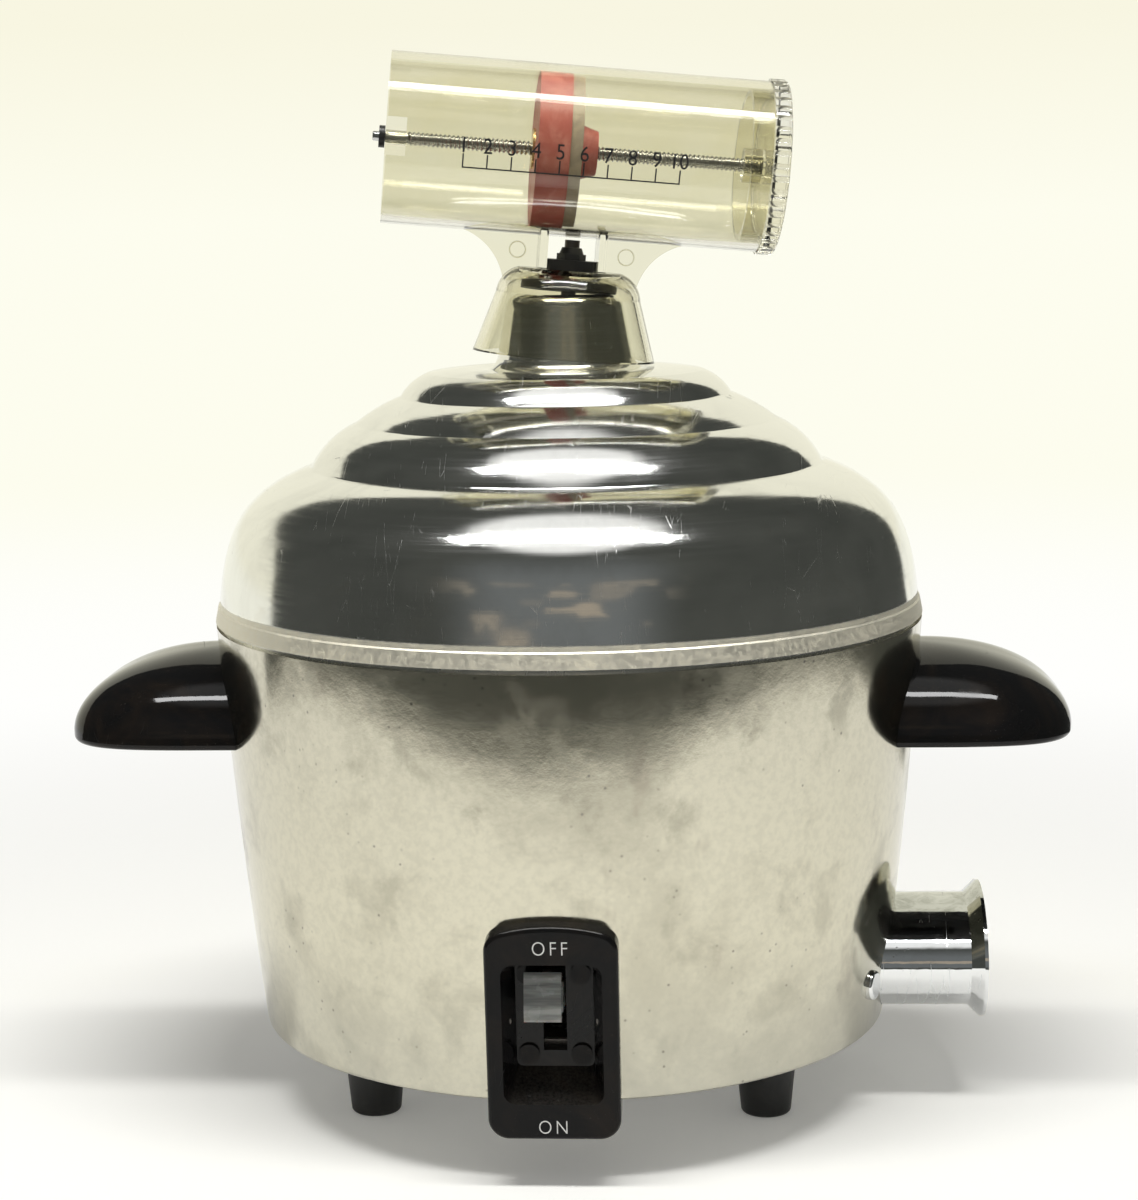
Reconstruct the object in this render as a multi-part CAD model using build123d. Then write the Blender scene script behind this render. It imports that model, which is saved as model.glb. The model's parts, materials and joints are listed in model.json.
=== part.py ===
from build123d import *
import os
from math import cos, degrees, radians, sin, sqrt, tan

# Electric egg cooker, in millimetres.
# The origin is on the table under the middle of the body. +Z is up, the handles lie on X,
# the plug guard on +X and the switch on -Y. Each named piece is one node.

# Body shell
foot_gap = 20.0
body_h = 103.0
body_bottom_r = 80.0
body_top_r = 89.9
wall_bulge = 0.65
wall_t = 1.5
body_lip_w = 6.0
body_edge_r = 1.2

# Water pan, hung from the body's top edge
pan_t = 0.8
pan_flange_inset = 1.3
pan_mouth_gap = 6.9
pan_floor_r = 71.0
pan_wall_bottom_r = 77.0
pan_corner_rise = 6.0
pan_floor_z = 72.0
sump_r = 38.0
sump_slope = 2.0
sump_depth = 3.0

# Heating element, clamped under the sump by the centre stud
stud_r = 2.5
stud_hole_gap = 0.5
mica_r = 36.0
mica_t = 0.5
element_r = 34.0
element_in_r = 12.0
element_t = 1.5
element_tab_l = 12.0
element_tab_w = 6.0
clamp_r = 36.0
clamp_t = 2.0
nut_flat = 8.0
nut_h = 4.0
stud_below_plate = 5.0

# Bottom plate and feet
plate_t = 1.0
plate_gap = 0.4
vent_count = 8
vent_r = 2.5
vent_ring_r = 34.0
foot_ring_r = 57.0
foot_azimuths = (-150.0, -30.0, 90.0)
foot_top_r = 8.3
foot_bottom_r = 6.2
foot_edge_r = 1.2
foot_bore_r = 4.0
foot_bore_depth = 6.0
foot_screw_r = 2.0
foot_screw_head_r = 3.3
foot_screw_head_h = 2.0
foot_nut_flat = 7.0
foot_nut_h = 3.0

# Handles: a full-cornered oval in plan, flat below and crowned above
handle_reach = 127.0
handle_root_x = 86.0
handle_half_w = 32.0
handle_bottom_z = 93.7
handle_belt_z = 95.6
handle_crown_h = 20.0
handle_edge_r = 1.5
plan_power = 3.6
crown_power = 2.1
crown_angles = (0.0, 18.0, 36.0, 52.0, 66.0, 78.0)
handle_screw_angle = 12.0
handle_screw_z = 102.0
handle_screw_r = 2.0
handle_screw_depth = 11.0
handle_screw_head_r = 3.5
handle_screw_head_h = 2.2

# Switch, in its own frame: x across, y up the wall, z outwards from the plate's face
switch_centre_z = 39.2
switch_turn = -0.4
switch_proud = 4.0
plate_w = 31.0
plate_h = 53.0
plate_drop = 1.0
plate_rise = 2.6
plate_corner_r = 5.0
plate_edge_r = 1.2
plate_lower_depth = 7.0
recess_w = 23.3
recess_h = 34.8
recess_drop = 1.1
recess_r = 3.0
recess_depth = 9.5
floor_w = 18.2
floor_h = 26.0
floor_r = 1.5
collar_w = 25.6
collar_h = 36.4
collar_drop = 0.4
window_gap = 0.2
base_w = 34.0
base_h = 34.0
base_t = 3.0
base_lift = 2.0
slot_w = 5.5
slot_top = 13.0
slot_bottom = -9.0
rivet_x = 6.2
rivet_upper_y = 10.4
rivet_lower_y = -9.8
rivet_head_r = 2.5
rivet_head_h = 0.8
rivet_r = 1.2
switch_screw_x = 11.0
switch_screw_r = 1.1
switch_screw_head_r = 2.0
switch_screw_head_h = 1.4
switch_screw_bite = 4.0

# Lever, in a frame at its pivot
pivot_y = 1.0
pivot_behind_floor = 14.0
lever_half_throw = 16.5
tab_out_r = 21.5
tab_t = 3.0
tab_half_angle = 15.5
tab_left = 6.65
tab_right = 2.05
stem_w = 4.7
stem_h = 7.0
hub_r = 4.5
hub_w = 9.0
arm_l = 14.0
arm_h = 4.0
bridge_w = 18.0
bridge_l = 4.0
bridge_t = 1.0
pin_r = 1.5
pin_fit = 0.05
bracket_t = 1.2
bracket_inner = 10.0
bracket_web_w = 17.0
bracket_low = -13.0
bracket_web_top = -7.6
bracket_cheek_top = 6.0
bracket_behind_pivot = 5.5
washer_t = 0.25
contact_x = 7.0
contact_w = 4.0
contact_t = 0.8
contact_strip_y = 10.2
contact_foot_top = 16.0
contact_button_r = 1.8
contact_gap = 0.4

# Plug guard and terminals, placed out or in from the wall's radius at the guard's height
guard_z = 34.4
guard_reach = 23.7
neck_root_inset = 7.7
neck_half_w = 23.0
neck_half_h = 13.7
neck_gap = 0.2
guard_t = 1.0
rim_half_w = 24.4
rim_half_h = 17.0
flare_l = 3.2
rim_t = 0.9
flange_t = 1.2
flange_half_w = 38.0
flange_top_z = 54.0
flange_corner_r = 8.0
guard_rivet_y = 31.4
guard_rivet_z = 33.4
guard_rivet_head_r = 3.65
guard_rivet_head_h = 1.4
guard_rivet_r = 1.6
pin_spacing = 12.7
terminal_pin_r = 2.4
terminal_pin_reach = 18.3
terminal_pin_start_inset = 7.2
terminal_shank_r = 2.0
block_back_inset = 21.7
block_t = 12.0
block_w = 30.0
block_h = 24.0
terminal_nut_flat = 7.0
terminal_nut_t = 3.0
block_screw_y = 9.0
block_screw_r = 1.5
block_screw_head_r = 2.8
block_screw_head_h = 1.6

# Thermostat under the clamp plate
thermo_y = 20.0
thermo_turn = 90.0
thermo_l = 12.0
thermo_w = 12.0
thermo_h = 8.0
blade_w = 9.0
blade_l = 36.0
blade_t = 0.8
blade_step = 3.0
thermo_button_r = 2.5
thermo_rivet_r = 1.5

# Internal wires, each soldered to a lug or to a flat
wire_r = 1.1
lug_w = 2.6
element_tab_azimuths = (35.0, -55.0)

# Lid: its profile is given as insets from the rim and rises from its bottom edge
lid_gap = 0.3
lid_t = 1.2
lid_rim_over = 0.1
lid_band_inset = 0.7
lid_band_h = 3.6
lid_step = 0.4
lid_lip_gap = 1.0
lid_lip_depth = 3.5
lid_lip_t = 1.0
lid_shoulder = ((2.1, 11.9), (4.0, 19.4), (7.8, 26.9), (14.5, 33.1))
tier_grooves = ((25.0, 37.9), (36.5, 48.7), (48.0, 55.2), (55.0, 61.1))
tier_swells = (1.4, 0.5, 0.8)
top_swell = 0.45
groove_r = 0.9
boss_foot_r = 19.4
boss_foot_rise = 61.9
boss_side_r = 17.2
boss_side_rise = 64.5
boss_shoulder_r = 14.9
boss_shoulder_rise = 76.5
boss_flat_r = 11.6
boss_rise = 80.7
boss_hole_r = 4.2
steam_vent_azimuths = (0.0, 180.0)
steam_vent_r = 2.2
steam_vent_inset = 6.6
steam_vent_rise = 24.9
steam_vent_pitch = 36.0

# Water measure, in its own frame: x along the tube, z out of the boss
knob_shift = 1.1
knob_yaw = 6.5
knob_tilt = 5.35
gasket_r = 12.2
gasket_t = 2.2
gasket_gap = 0.02
bolt_r = 1.9
bolt_hole_gap = 0.3
bolt_head_r = 4.5
bolt_head_h = 3.0
bolt_washer_r = 7.0
bolt_washer_t = 1.0
skirt_t = 1.9
dome_t = 2.2
dome_flat_r = 13.0
skirt_shoulder_r = 18.3
skirt_shoulder_drop = 6.4
skirt_rim_r = 23.1
skirt_rim_w = -16.0
clamp_plate_l = 12.6
clamp_plate_w = 10.0
clamp_plate_t = 2.5
knob_nut_flat = 6.4
knob_nut_h = 3.1
bolt_end_gap = 0.6
tube_r = 21.3
tube_wall = 2.0
tube_left = -48.4
tube_right = 46.0
window_h = 8.1
window_half_w = 6.4
rib_t = 2.0
rib_half_d = 7.5
web_t = 2.2
web_top_half = 27.4
web_foot_half = 18.5
web_waist_half = 22.0
web_waist_rise = 8.3
bridge_bar_l = 5.0
bridge_bar_h = 9.0

# Threaded rod, cap and piston
thread_r = 1.78
spigot_r = 1.2
spigot_end = 3.4
run_fit = 0.05
end_play = 0.3
clip_r = 2.75
clip_t = 1.5
cap_r = 21.9
cap_t = 4.3
cap_plug_l = 4.8
cap_plug_gap = 0.3
flute_count = 44
flute_r = 0.75
flute_depth = 0.55
piston_face = -11.4
piston_cup_l = 8.0
piston_plate_t = 3.0
piston_hub_l = 4.7
piston_hub_r = 7.0
piston_hub_end_r = 5.5
piston_gap = 0.05
piston_plate_gap = 0.6
piston_nut_r = 3.2
piston_nut_l = 12.0

# Egg tray
tray_z = 96.0
tray_t = 1.2
tray_gap = 1.5
egg_count = 6
egg_hole_r = 19.0
egg_ring_r = 50.0
leg_count = 3
leg_ring_r = 73.0
leg_r = 2.2
seat_gap = 0.3
post_r = 3.0
post_top_z = 150.0
ring_r = 11.0
ring_wire_r = 1.6

# Heights and radii that follow from the sizes above
body_bottom_z = foot_gap
body_top_z = foot_gap + body_h
plate_z = body_bottom_z + wall_t
pan_top_z = body_top_z + pan_t
lid_bottom_z = pan_top_z + lid_gap
lid_rim_r = body_top_r + lid_rim_over
lid_band_r = lid_rim_r - lid_band_inset
boss_top_z = lid_bottom_z + boss_rise
sump_z = pan_floor_z - sump_depth
mica_z = sump_z - mica_t
element_z = mica_z - element_t
clamp_z = element_z - clamp_t
pan_mouth_r = body_top_r - pan_mouth_gap


def wall_radius(z, extra=0.0):
    """Outer radius of the body's wall at height z: a straight taper with a slight swell."""
    s = (z - body_bottom_z) / body_h
    return body_bottom_r + (body_top_r - body_bottom_r) * s + 4 * wall_bulge * s * (1 - s) + extra


wall_lean = degrees((wall_radius(switch_centre_z + 1) - wall_radius(switch_centre_z - 1)) / 2)
guard_mouth_x = wall_radius(guard_z) + guard_reach
neck_root_x = wall_radius(guard_z) - neck_root_inset
terminal_pin_end_x = wall_radius(guard_z) + terminal_pin_reach
terminal_pin_start_x = wall_radius(guard_z) - terminal_pin_start_inset
block_back_x = wall_radius(guard_z) - block_back_inset


def chain(*points):
    return Polyline(*points)


def turned(outline):
    """The solid that a closed outline in (radius, height) sweeps about Z."""
    return revolve(Plane.XZ * make_face(outline), Axis.Z)


def tube(r_out, r_in, z_low, z_high):
    section = Circle(r_out) - Circle(r_in) if r_in else Circle(r_out)
    return Pos(0, 0, z_low) * extrude(section, z_high - z_low)


def along_x(solid):
    """Turns a piece that was built upwards so that it runs along +X."""
    return Rot(0, 90, 0) * solid


def hexagon(flat, z_low, z_high, bore):
    """A plain nut: across flats, from one height to another, with its bore."""
    corner_r = flat / sqrt(3)
    section = RegularPolygon(corner_r, 6) - Circle(bore)
    return Pos(0, 0, z_low) * extrude(section, z_high - z_low)


def wall_arc(z_low, z_high, inset):
    z_mid = (z_low + z_high) / 2
    ends = [(wall_radius(z) - inset, z) for z in (z_low, z_mid, z_high)]
    return ThreePointArc(*ends)


def wall_core(inset, z_low=body_bottom_z, z_high=body_top_z):
    """Everything inside the wall's surface, moved inwards by inset."""
    side = wall_arc(z_low, z_high, inset)
    rest = chain(side @ 1, (0, z_high), (0, z_low), side @ 0)
    return turned(side + rest)


def at_azimuth(solid, azimuth):
    return Rot(0, 0, azimuth) * solid


def copies_around(solid, azimuths):
    return [at_azimuth(solid, a) for a in azimuths]


def group(solids):
    return Compound(children=list(solids))


# Frames of the tilted groups
switch_face = Rot(0, 0, switch_turn) * Plane(
    origin=(0, -(wall_radius(switch_centre_z) + switch_proud), switch_centre_z),
    x_dir=(1, 0, 0),
    z_dir=(0, -cos(radians(wall_lean)), -sin(radians(wall_lean))),
).location
pivot_frame = switch_face * Pos(0, pivot_y, -recess_depth - pivot_behind_floor)
lever_off = pivot_frame * Rot(-lever_half_throw, 0, 0)
guard_frame = Pos(0, 0, guard_z)
knob_turn = Rot(0, 0, knob_yaw)
knob_frame = Pos(0, 0, boss_top_z) * knob_turn * Pos(knob_shift, 0, 0) * Rot(0, knob_tilt, 0)


# Body shell, with its window, openings and holes
def switch_window():
    """The notch for the switch's collar, open at the body's foot."""
    w = collar_w + 2 * window_gap
    top = collar_h / 2 - collar_drop + window_gap
    low = -switch_centre_z
    notch = Pos(0, (top + low) / 2, -recess_depth) * Box(w, top - low, 4 * recess_depth)
    return switch_face * notch


def guard_opening():
    return guard_frame * neck(-neck_gap)


def radial(solid, azimuth, z):
    """Lays a piece that was built upwards so that it points outwards at height z."""
    return at_azimuth(Pos(0, 0, z) * along_x(solid), azimuth)


def radial_pin(r, azimuth, z, from_r, to_r):
    return radial(tube(r, 0, from_r, to_r), azimuth, z)


def handle_screw_azimuths():
    return [side + turn for side in (0, 180) for turn in (-handle_screw_angle, handle_screw_angle)]


def guard_rivet_azimuths():
    angle = degrees(guard_rivet_y / wall_radius(guard_rivet_z))
    return [-angle, angle]


def body_shell():
    outer = wall_arc(body_bottom_z, body_top_z, 0)
    inner = wall_arc(plate_z, body_top_z, wall_t)
    lip_r = body_bottom_r - body_lip_w
    top = Line(outer @ 1, inner @ 1)
    foot = chain(inner @ 0, (lip_r, plate_z), (lip_r, body_bottom_z), outer @ 0)
    shell = turned(outer + top + inner + foot)
    edges = shell.edges().filter_by(GeomType.CIRCLE)
    corner = [e for e in edges if abs(e.radius - body_bottom_r) < 0.01]
    shell = fillet(corner, body_edge_r)
    shell -= switch_window()
    shell -= guard_opening()
    reach = body_top_r + wall_t
    for azimuth in handle_screw_azimuths():
        shell -= radial_pin(handle_screw_r, azimuth, handle_screw_z, pan_mouth_r, reach)
    for azimuth in guard_rivet_azimuths():
        shell -= radial_pin(guard_rivet_r, azimuth, guard_rivet_z, neck_root_x, reach)
    return shell


# Pan, heating element and thermostat
def water_pan():
    flange_r = body_top_r - pan_flange_inset
    mouth_in = pan_mouth_r - pan_t
    corner_z = pan_floor_z + pan_corner_rise
    outline = chain(
        (0, sump_z),
        (sump_r, sump_z),
        (sump_r + sump_slope, pan_floor_z),
        (pan_floor_r, pan_floor_z),
        (pan_wall_bottom_r, corner_z),
        (pan_mouth_r, body_top_z),
        (flange_r, body_top_z),
        (flange_r, pan_top_z),
        (mouth_in, pan_top_z),
        (pan_wall_bottom_r - pan_t, corner_z + pan_t),
        (pan_floor_r - pan_t, pan_floor_z + pan_t),
        (sump_r + sump_slope - pan_t, pan_floor_z + pan_t),
        (sump_r - pan_t, sump_z + pan_t),
        (0, sump_z + pan_t),
        (0, sump_z),
    )
    return turned(outline)


def mica_sheet():
    return tube(mica_r, stud_r + stud_hole_gap, mica_z, sump_z)


def heating_element():
    ring = tube(element_r, element_in_r, element_z, mica_z)
    tab_in = element_r - 2
    tab = Pos(tab_in + element_tab_l / 2, 0, element_z + element_t / 2) * Box(
        element_tab_l, element_tab_w, element_t
    )
    for azimuth in element_tab_azimuths:
        ring += at_azimuth(tab, azimuth)
    return ring


def clamp_plate():
    return tube(clamp_r, stud_r + stud_hole_gap, clamp_z, element_z)


def centre_stud():
    low = plate_z - stud_below_plate
    return tube(stud_r, 0, low, sump_z)


def stud_nuts():
    upper = hexagon(nut_flat, clamp_z - nut_h, clamp_z, stud_r)
    lower = hexagon(nut_flat, plate_z - nut_h, plate_z, stud_r)
    return group([upper, lower])


def thermostat_base():
    x = thermo_l / 2 - blade_l / 2
    block = Pos(x, thermo_y, clamp_z - thermo_h / 2) * Box(thermo_l, thermo_w, thermo_h)
    hole = Pos(x, thermo_y, clamp_z - thermo_h) * Cylinder(thermo_rivet_r, 4 * thermo_h)
    return at_azimuth(block - hole, thermo_turn)


def blade(z_top):
    x = thermo_l / 2 - blade_l / 2
    strip = Pos(0, thermo_y, z_top - blade_t / 2) * Box(blade_l, blade_w, blade_t)
    return strip - Pos(x, thermo_y, z_top) * Cylinder(thermo_rivet_r, 4 * blade_t)


def bimetal_blade():
    """The upper blade, with a button below its free end and a lug on a tail at the other."""
    z = clamp_z - thermo_h
    x = blade_l / 2 - thermo_button_r - 1
    button_h = (blade_step - blade_t) / 2
    low = z - blade_t - button_h
    button = Pos(x, thermo_y, low) * extrude(Circle(thermo_button_r), button_h)
    tail_l = 2 * lug_w
    tail = Pos(-(blade_l + tail_l) / 2, thermo_y, z - blade_t / 2) * Box(tail_l, lug_w, blade_t)
    lug = Pos(-blade_l / 2 - tail_l + lug_w / 2, thermo_y, z - blade_t / 2) * Box(lug_w, lug_w, lug_w)
    return at_azimuth(blade(z) + button + tail + lug, thermo_turn)


def contact_blade():
    z = clamp_z - thermo_h - blade_step
    x = blade_l / 2 - thermo_button_r - 1
    button_h = (blade_step - blade_t) / 2
    button = Pos(x, thermo_y, z) * extrude(Circle(thermo_button_r), button_h)
    return at_azimuth(blade(z) + button, thermo_turn)


def thermostat_spacer():
    x = thermo_l / 2 - blade_l / 2
    z = clamp_z - thermo_h - blade_t
    h = blade_step - blade_t
    spacer = Pos(x, thermo_y, z - h / 2) * Box(thermo_l, blade_w, h)
    spacer -= Pos(x, thermo_y, z) * Cylinder(thermo_rivet_r, 4 * h)
    return at_azimuth(spacer, thermo_turn)


def thermostat_rivet():
    x = thermo_l / 2 - blade_l / 2
    low = clamp_z - thermo_h - blade_step - blade_t
    shank = Pos(x, thermo_y, low) * extrude(Circle(thermo_rivet_r), clamp_z - low)
    head = Pos(x, thermo_y, low - 1) * extrude(Circle(2 * thermo_rivet_r), 1)
    return at_azimuth(shank + head, thermo_turn)


# Bottom plate, feet and their screws
def bottom_plate():
    r = wall_radius(plate_z) - wall_t - plate_gap
    disc = tube(r, stud_r + stud_hole_gap, plate_z, plate_z + plate_t)
    vent = Pos(vent_ring_r, 0, plate_z) * Cylinder(vent_r, 4 * plate_t)
    for i in range(vent_count):
        disc -= at_azimuth(vent, 360 * (i + 0.5) / vent_count)
    hole = Pos(foot_ring_r, 0, plate_z) * Cylinder(foot_screw_r, 4 * plate_t)
    for solid in copies_around(hole, foot_azimuths):
        disc -= solid
    for y in (-block_screw_y, block_screw_y):
        disc -= Pos(block_back_x + block_t / 2, y, plate_z) * Cylinder(block_screw_r, 4 * plate_t)
    return disc - switch_window() - guard_opening()


def foot(azimuth):
    outline = chain(
        (0, 0),
        (foot_bottom_r, 0),
        (foot_top_r, plate_z),
        (0, plate_z),
        (0, 0),
    )
    solid = turned(outline)
    rim = [e for e in solid.edges().filter_by(GeomType.CIRCLE) if e.center().Z < 0.01]
    solid = fillet(rim, foot_edge_r)
    solid -= tube(foot_bore_r, 0, 0, foot_bore_depth)
    solid -= tube(foot_screw_r, 0, 0, plate_z)
    return at_azimuth(Pos(foot_ring_r, 0, 0) * solid, azimuth)


def foot_screw():
    head_low = foot_bore_depth - foot_screw_head_h
    head = tube(foot_screw_head_r, 0, head_low, foot_bore_depth)
    top = plate_z + plate_t + foot_nut_h + 1
    return head + tube(foot_screw_r, 0, foot_bore_depth, top)


def foot_screws():
    return group(copies_around(Pos(foot_ring_r, 0, 0) * foot_screw(), foot_azimuths))


def foot_nuts():
    low = plate_z + plate_t
    nut = hexagon(foot_nut_flat, low, low + foot_nut_h, foot_screw_r)
    return group(copies_around(Pos(foot_ring_r, 0, 0) * nut, foot_azimuths))


# Handles
def superellipse(half_w, half_h, power, count=24):
    """Points of |y/w|^n + |z/h|^n = 1, evenly spaced in angle."""
    points = []
    for i in range(count):
        c, s = cos(radians(360 * i / count)), sin(radians(360 * i / count))
        y = half_w * abs(c) ** (2 / power) * (1 if c > 0 else -1)
        z = half_h * abs(s) ** (2 / power) * (1 if s > 0 else -1)
        points.append((y, z))
    return points


def handle_section(angle):
    """The plan's outline drawn in, and its height, at one step up the crown."""
    drawn_in = cos(radians(angle)) ** (2 / crown_power)
    rise = handle_crown_h * sin(radians(angle)) ** (2 / crown_power)
    reach = handle_reach - handle_root_x
    points = superellipse(reach * drawn_in, handle_half_w * drawn_in, plan_power)
    return Pos(0, 0, rise) * make_face(Spline(*points, periodic=True))


def grip():
    sections = [handle_section(angle) for angle in crown_angles]
    crown = loft([*sections, Vertex(0, 0, handle_crown_h)])
    belt = handle_belt_z - handle_bottom_z
    slab = Pos(0, 0, -belt) * extrude(handle_section(0), belt)
    rim = [e for e in slab.edges() if abs(e.center().Z + belt) < 0.01]
    slab = fillet(rim, handle_edge_r)
    return Pos(handle_root_x, 0, handle_belt_z) * (crown + slab)


def handle(side):
    solid = grip() - wall_core(0)
    for turn in (-handle_screw_angle, handle_screw_angle):
        start = wall_radius(handle_screw_z)
        solid -= radial_pin(handle_screw_r, turn, handle_screw_z, start - 1, start + handle_screw_depth)
    return at_azimuth(solid, side)


def handle_screws():
    inside_r = wall_radius(handle_screw_z) - wall_t
    end_r = inside_r + wall_t + handle_screw_depth
    screws = []
    for azimuth in handle_screw_azimuths():
        head_in = inside_r - handle_screw_head_h - 0.4
        shank = radial_pin(handle_screw_r, azimuth, handle_screw_z, head_in + 1, end_r)
        head = radial_pin(handle_screw_head_r, azimuth, handle_screw_z, head_in, inside_r - 0.1)
        screws.append(shank + (head & wall_core(wall_t)))
    return group(screws)


# Switch
def bowed_plate(w, h, rise, corner_r):
    """Straight sides and foot, a top that bows up by rise, and rounded corners."""
    high = h / 2 - rise
    sides = chain((-w / 2, high), (-w / 2, -h / 2), (w / 2, -h / 2), (w / 2, high))
    face = make_face(sides + ThreePointArc((w / 2, high), (0, h / 2), (-w / 2, high)))
    return fillet(face.vertices(), corner_r)


def recess():
    front = Pos(0, -recess_drop, 0) * RectangleRounded(recess_w, recess_h, recess_r)
    floor = Pos(0, 0, -recess_depth) * RectangleRounded(floor_w, floor_h, floor_r)
    return loft([front, floor], ruled=True)


def switch_plate():
    front = Pos(0, -plate_drop, -plate_lower_depth) * extrude(
        bowed_plate(plate_w, plate_h, plate_rise, plate_corner_r), plate_lower_depth
    )
    rim = [e for e in front.edges() if abs(e.center().Z) < 0.01]
    front = switch_face * fillet(rim, plate_edge_r) - wall_core(0)
    collar = Pos(0, -collar_drop, -recess_depth) * extrude(
        RectangleRounded(collar_w, collar_h, recess_r), recess_depth - plate_edge_r - 1
    )
    solid = front + switch_face * collar - switch_face * recess()
    for x in (-switch_screw_x, switch_screw_x):
        solid -= switch_face * screw_shank(x)
    return solid


def screw_shank(x):
    low = -recess_depth - base_t
    return Pos(x, 0, low) * extrude(Circle(switch_screw_r), base_t + switch_screw_bite)


def switch_base():
    back = -recess_depth - base_t
    plate = Pos(0, base_lift, back + base_t / 2) * Box(base_w, base_h, base_t)
    pad_w = (base_w - collar_w) / 2 - 1
    for side in (-1, 1):
        x = side * (base_w - pad_w) / 2
        plate += Pos(x, base_lift, -recess_depth / 2) * Box(pad_w, base_h, recess_depth)
    slot_mid = (slot_top + slot_bottom) / 2
    plate -= Pos(0, slot_mid, back) * Box(slot_w, slot_top - slot_bottom, 4 * base_t)
    for x, y in rivet_places():
        plate -= Pos(x, y, back) * Cylinder(rivet_r, 4 * base_t)
    for x in (-switch_screw_x, switch_screw_x):
        plate -= screw_shank(x)
    return (switch_face * plate) & wall_core(wall_t, plate_z + plate_t)


def rivet_places():
    return [(x, y) for y in (rivet_upper_y, rivet_lower_y) for x in (-rivet_x, rivet_x)]


def switch_rivets():
    """Domed heads on the recess's floor, with shanks through the base and what it carries."""
    rivets = []
    for x, y in rivet_places():
        carried = contact_t if y > 0 else bracket_t
        low = -recess_depth - base_t - carried
        shank = Pos(x, y, low) * extrude(Circle(rivet_r), carried + base_t)
        head = Pos(x, y, -recess_depth) * extrude(Circle(rivet_head_r), rivet_head_h)
        rivets.append(switch_face * (shank + head))
    return group(rivets)


def switch_screws():
    back = -recess_depth - base_t
    screws = []
    for x in (-switch_screw_x, switch_screw_x):
        head = Pos(x, 0, back - switch_screw_head_h) * extrude(
            Circle(switch_screw_head_r), switch_screw_head_h
        )
        screws.append(switch_face * (head + screw_shank(x)))
    return group(screws)


def lever_bracket():
    """A steel U: a web riveted under the slot and two cheeks that hold the pin."""
    front = -recess_depth - base_t
    web_h = bracket_web_top - bracket_low
    web = Pos(0, bracket_low + web_h / 2, front - bracket_t / 2) * Box(bracket_web_w, web_h, bracket_t)
    back = -recess_depth - pivot_behind_floor - bracket_behind_pivot
    cheek_h = bracket_cheek_top - bracket_low
    cheek_l = front - back
    solid = web
    for side in (-1, 1):
        x = side * (bracket_inner + bracket_t) / 2
        solid += Pos(x, bracket_low + cheek_h / 2, front - cheek_l / 2) * Box(bracket_t, cheek_h, cheek_l)
    for x in (-rivet_x, rivet_x):
        solid -= Pos(x, rivet_lower_y, front) * Cylinder(rivet_r, 4 * bracket_t)
    return switch_face * solid - pivot_frame * pivot_rod(pin_r, 2 * bracket_inner)


def pivot_rod(r, length):
    return Rot(0, 90, 0) * Cylinder(r, length)


def lever_pin():
    length = bracket_inner + 2 * bracket_t + 2
    return pivot_frame * pivot_rod(pin_r, length)


def friction_washer():
    x = (bracket_inner - washer_t) / 2
    ring = pivot_rod(hub_r - 0.5, washer_t) - pivot_rod(pin_r, 2 * washer_t)
    return pivot_frame * Pos(x, 0, 0) * ring


def tab_sector():
    """The lever's finger tab: a band of a cylinder about the pivot."""
    half = tab_half_angle
    wedge = make_face(
        chain(
            (0, 0),
            (2 * tab_out_r * cos(radians(half)), 2 * tab_out_r * sin(radians(half))),
            (2 * tab_out_r * cos(radians(half)), -2 * tab_out_r * sin(radians(half))),
            (0, 0),
        )
    )
    band = (Circle(tab_out_r) - Circle(tab_out_r - tab_t)) & wedge
    solid = extrude(band, tab_left + tab_right)
    # the sector points along +x of its own plane: turn it to point along +z, across x
    turned_up = Plane(origin=(-tab_left, 0, 0), x_dir=(0, 0, 1), z_dir=(1, 0, 0)).location
    return turned_up * solid


def switch_lever():
    hub = pivot_rod(hub_r, hub_w)
    stem_l = tab_out_r - tab_t / 2
    stem = Pos(0, 0, stem_l / 2) * Box(stem_w, stem_h, stem_l)
    arm = Pos(0, 0, -arm_l / 2) * Box(stem_w, arm_h, arm_l)
    solid = hub + stem + arm + tab_sector() - pivot_rod(pin_r + pin_fit, 2 * hub_w)
    return lever_off * solid


def contact_bridge():
    bar = Pos(0, arm_h / 2 + bridge_t / 2, -arm_l + bridge_l / 2) * Box(bridge_w, bridge_t, bridge_l)
    return lever_off * bar


def switch_contacts():
    """Two brass strips: a foot riveted to the base, and a limb over the bridge with its button."""
    front = -recess_depth - base_t
    reach = -recess_depth - pivot_behind_floor - arm_l
    turn = radians(lever_half_throw)
    bridge_top = pivot_y + (arm_h / 2 + bridge_t) * cos(turn) + arm_l * sin(turn)
    button_low = bridge_top + contact_gap
    strips = []
    for side in (-1, 1):
        x = side * contact_x
        foot_h = contact_foot_top - contact_strip_y
        foot_piece = Pos(x, contact_strip_y + foot_h / 2, front - contact_t / 2) * Box(
            contact_w, foot_h, contact_t
        )
        limb_l = front - reach
        limb = Pos(x, contact_strip_y + contact_t / 2, front - limb_l / 2) * Box(contact_w, contact_t, limb_l)
        button = Pos(x, button_low, reach + contact_button_r + 0.5) * Rot(-90, 0, 0) * extrude(
            Circle(contact_button_r), contact_strip_y - button_low
        )
        hole = Pos(side * rivet_x, rivet_upper_y, front) * Cylinder(rivet_r, 4 * contact_t)
        lug = Pos(x, contact_strip_y + contact_t / 2, reach + lug_w / 2) * Box(lug_w, lug_w, lug_w)
        strips.append(switch_face * (foot_piece + limb + lug + button - hole))
    return group(strips)


# Plug guard and terminals
def oval(half_w, half_h, x):
    return Plane(origin=(x, 0, 0), x_dir=(0, 1, 0), z_dir=(1, 0, 0)) * Ellipse(half_w, half_h)


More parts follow.
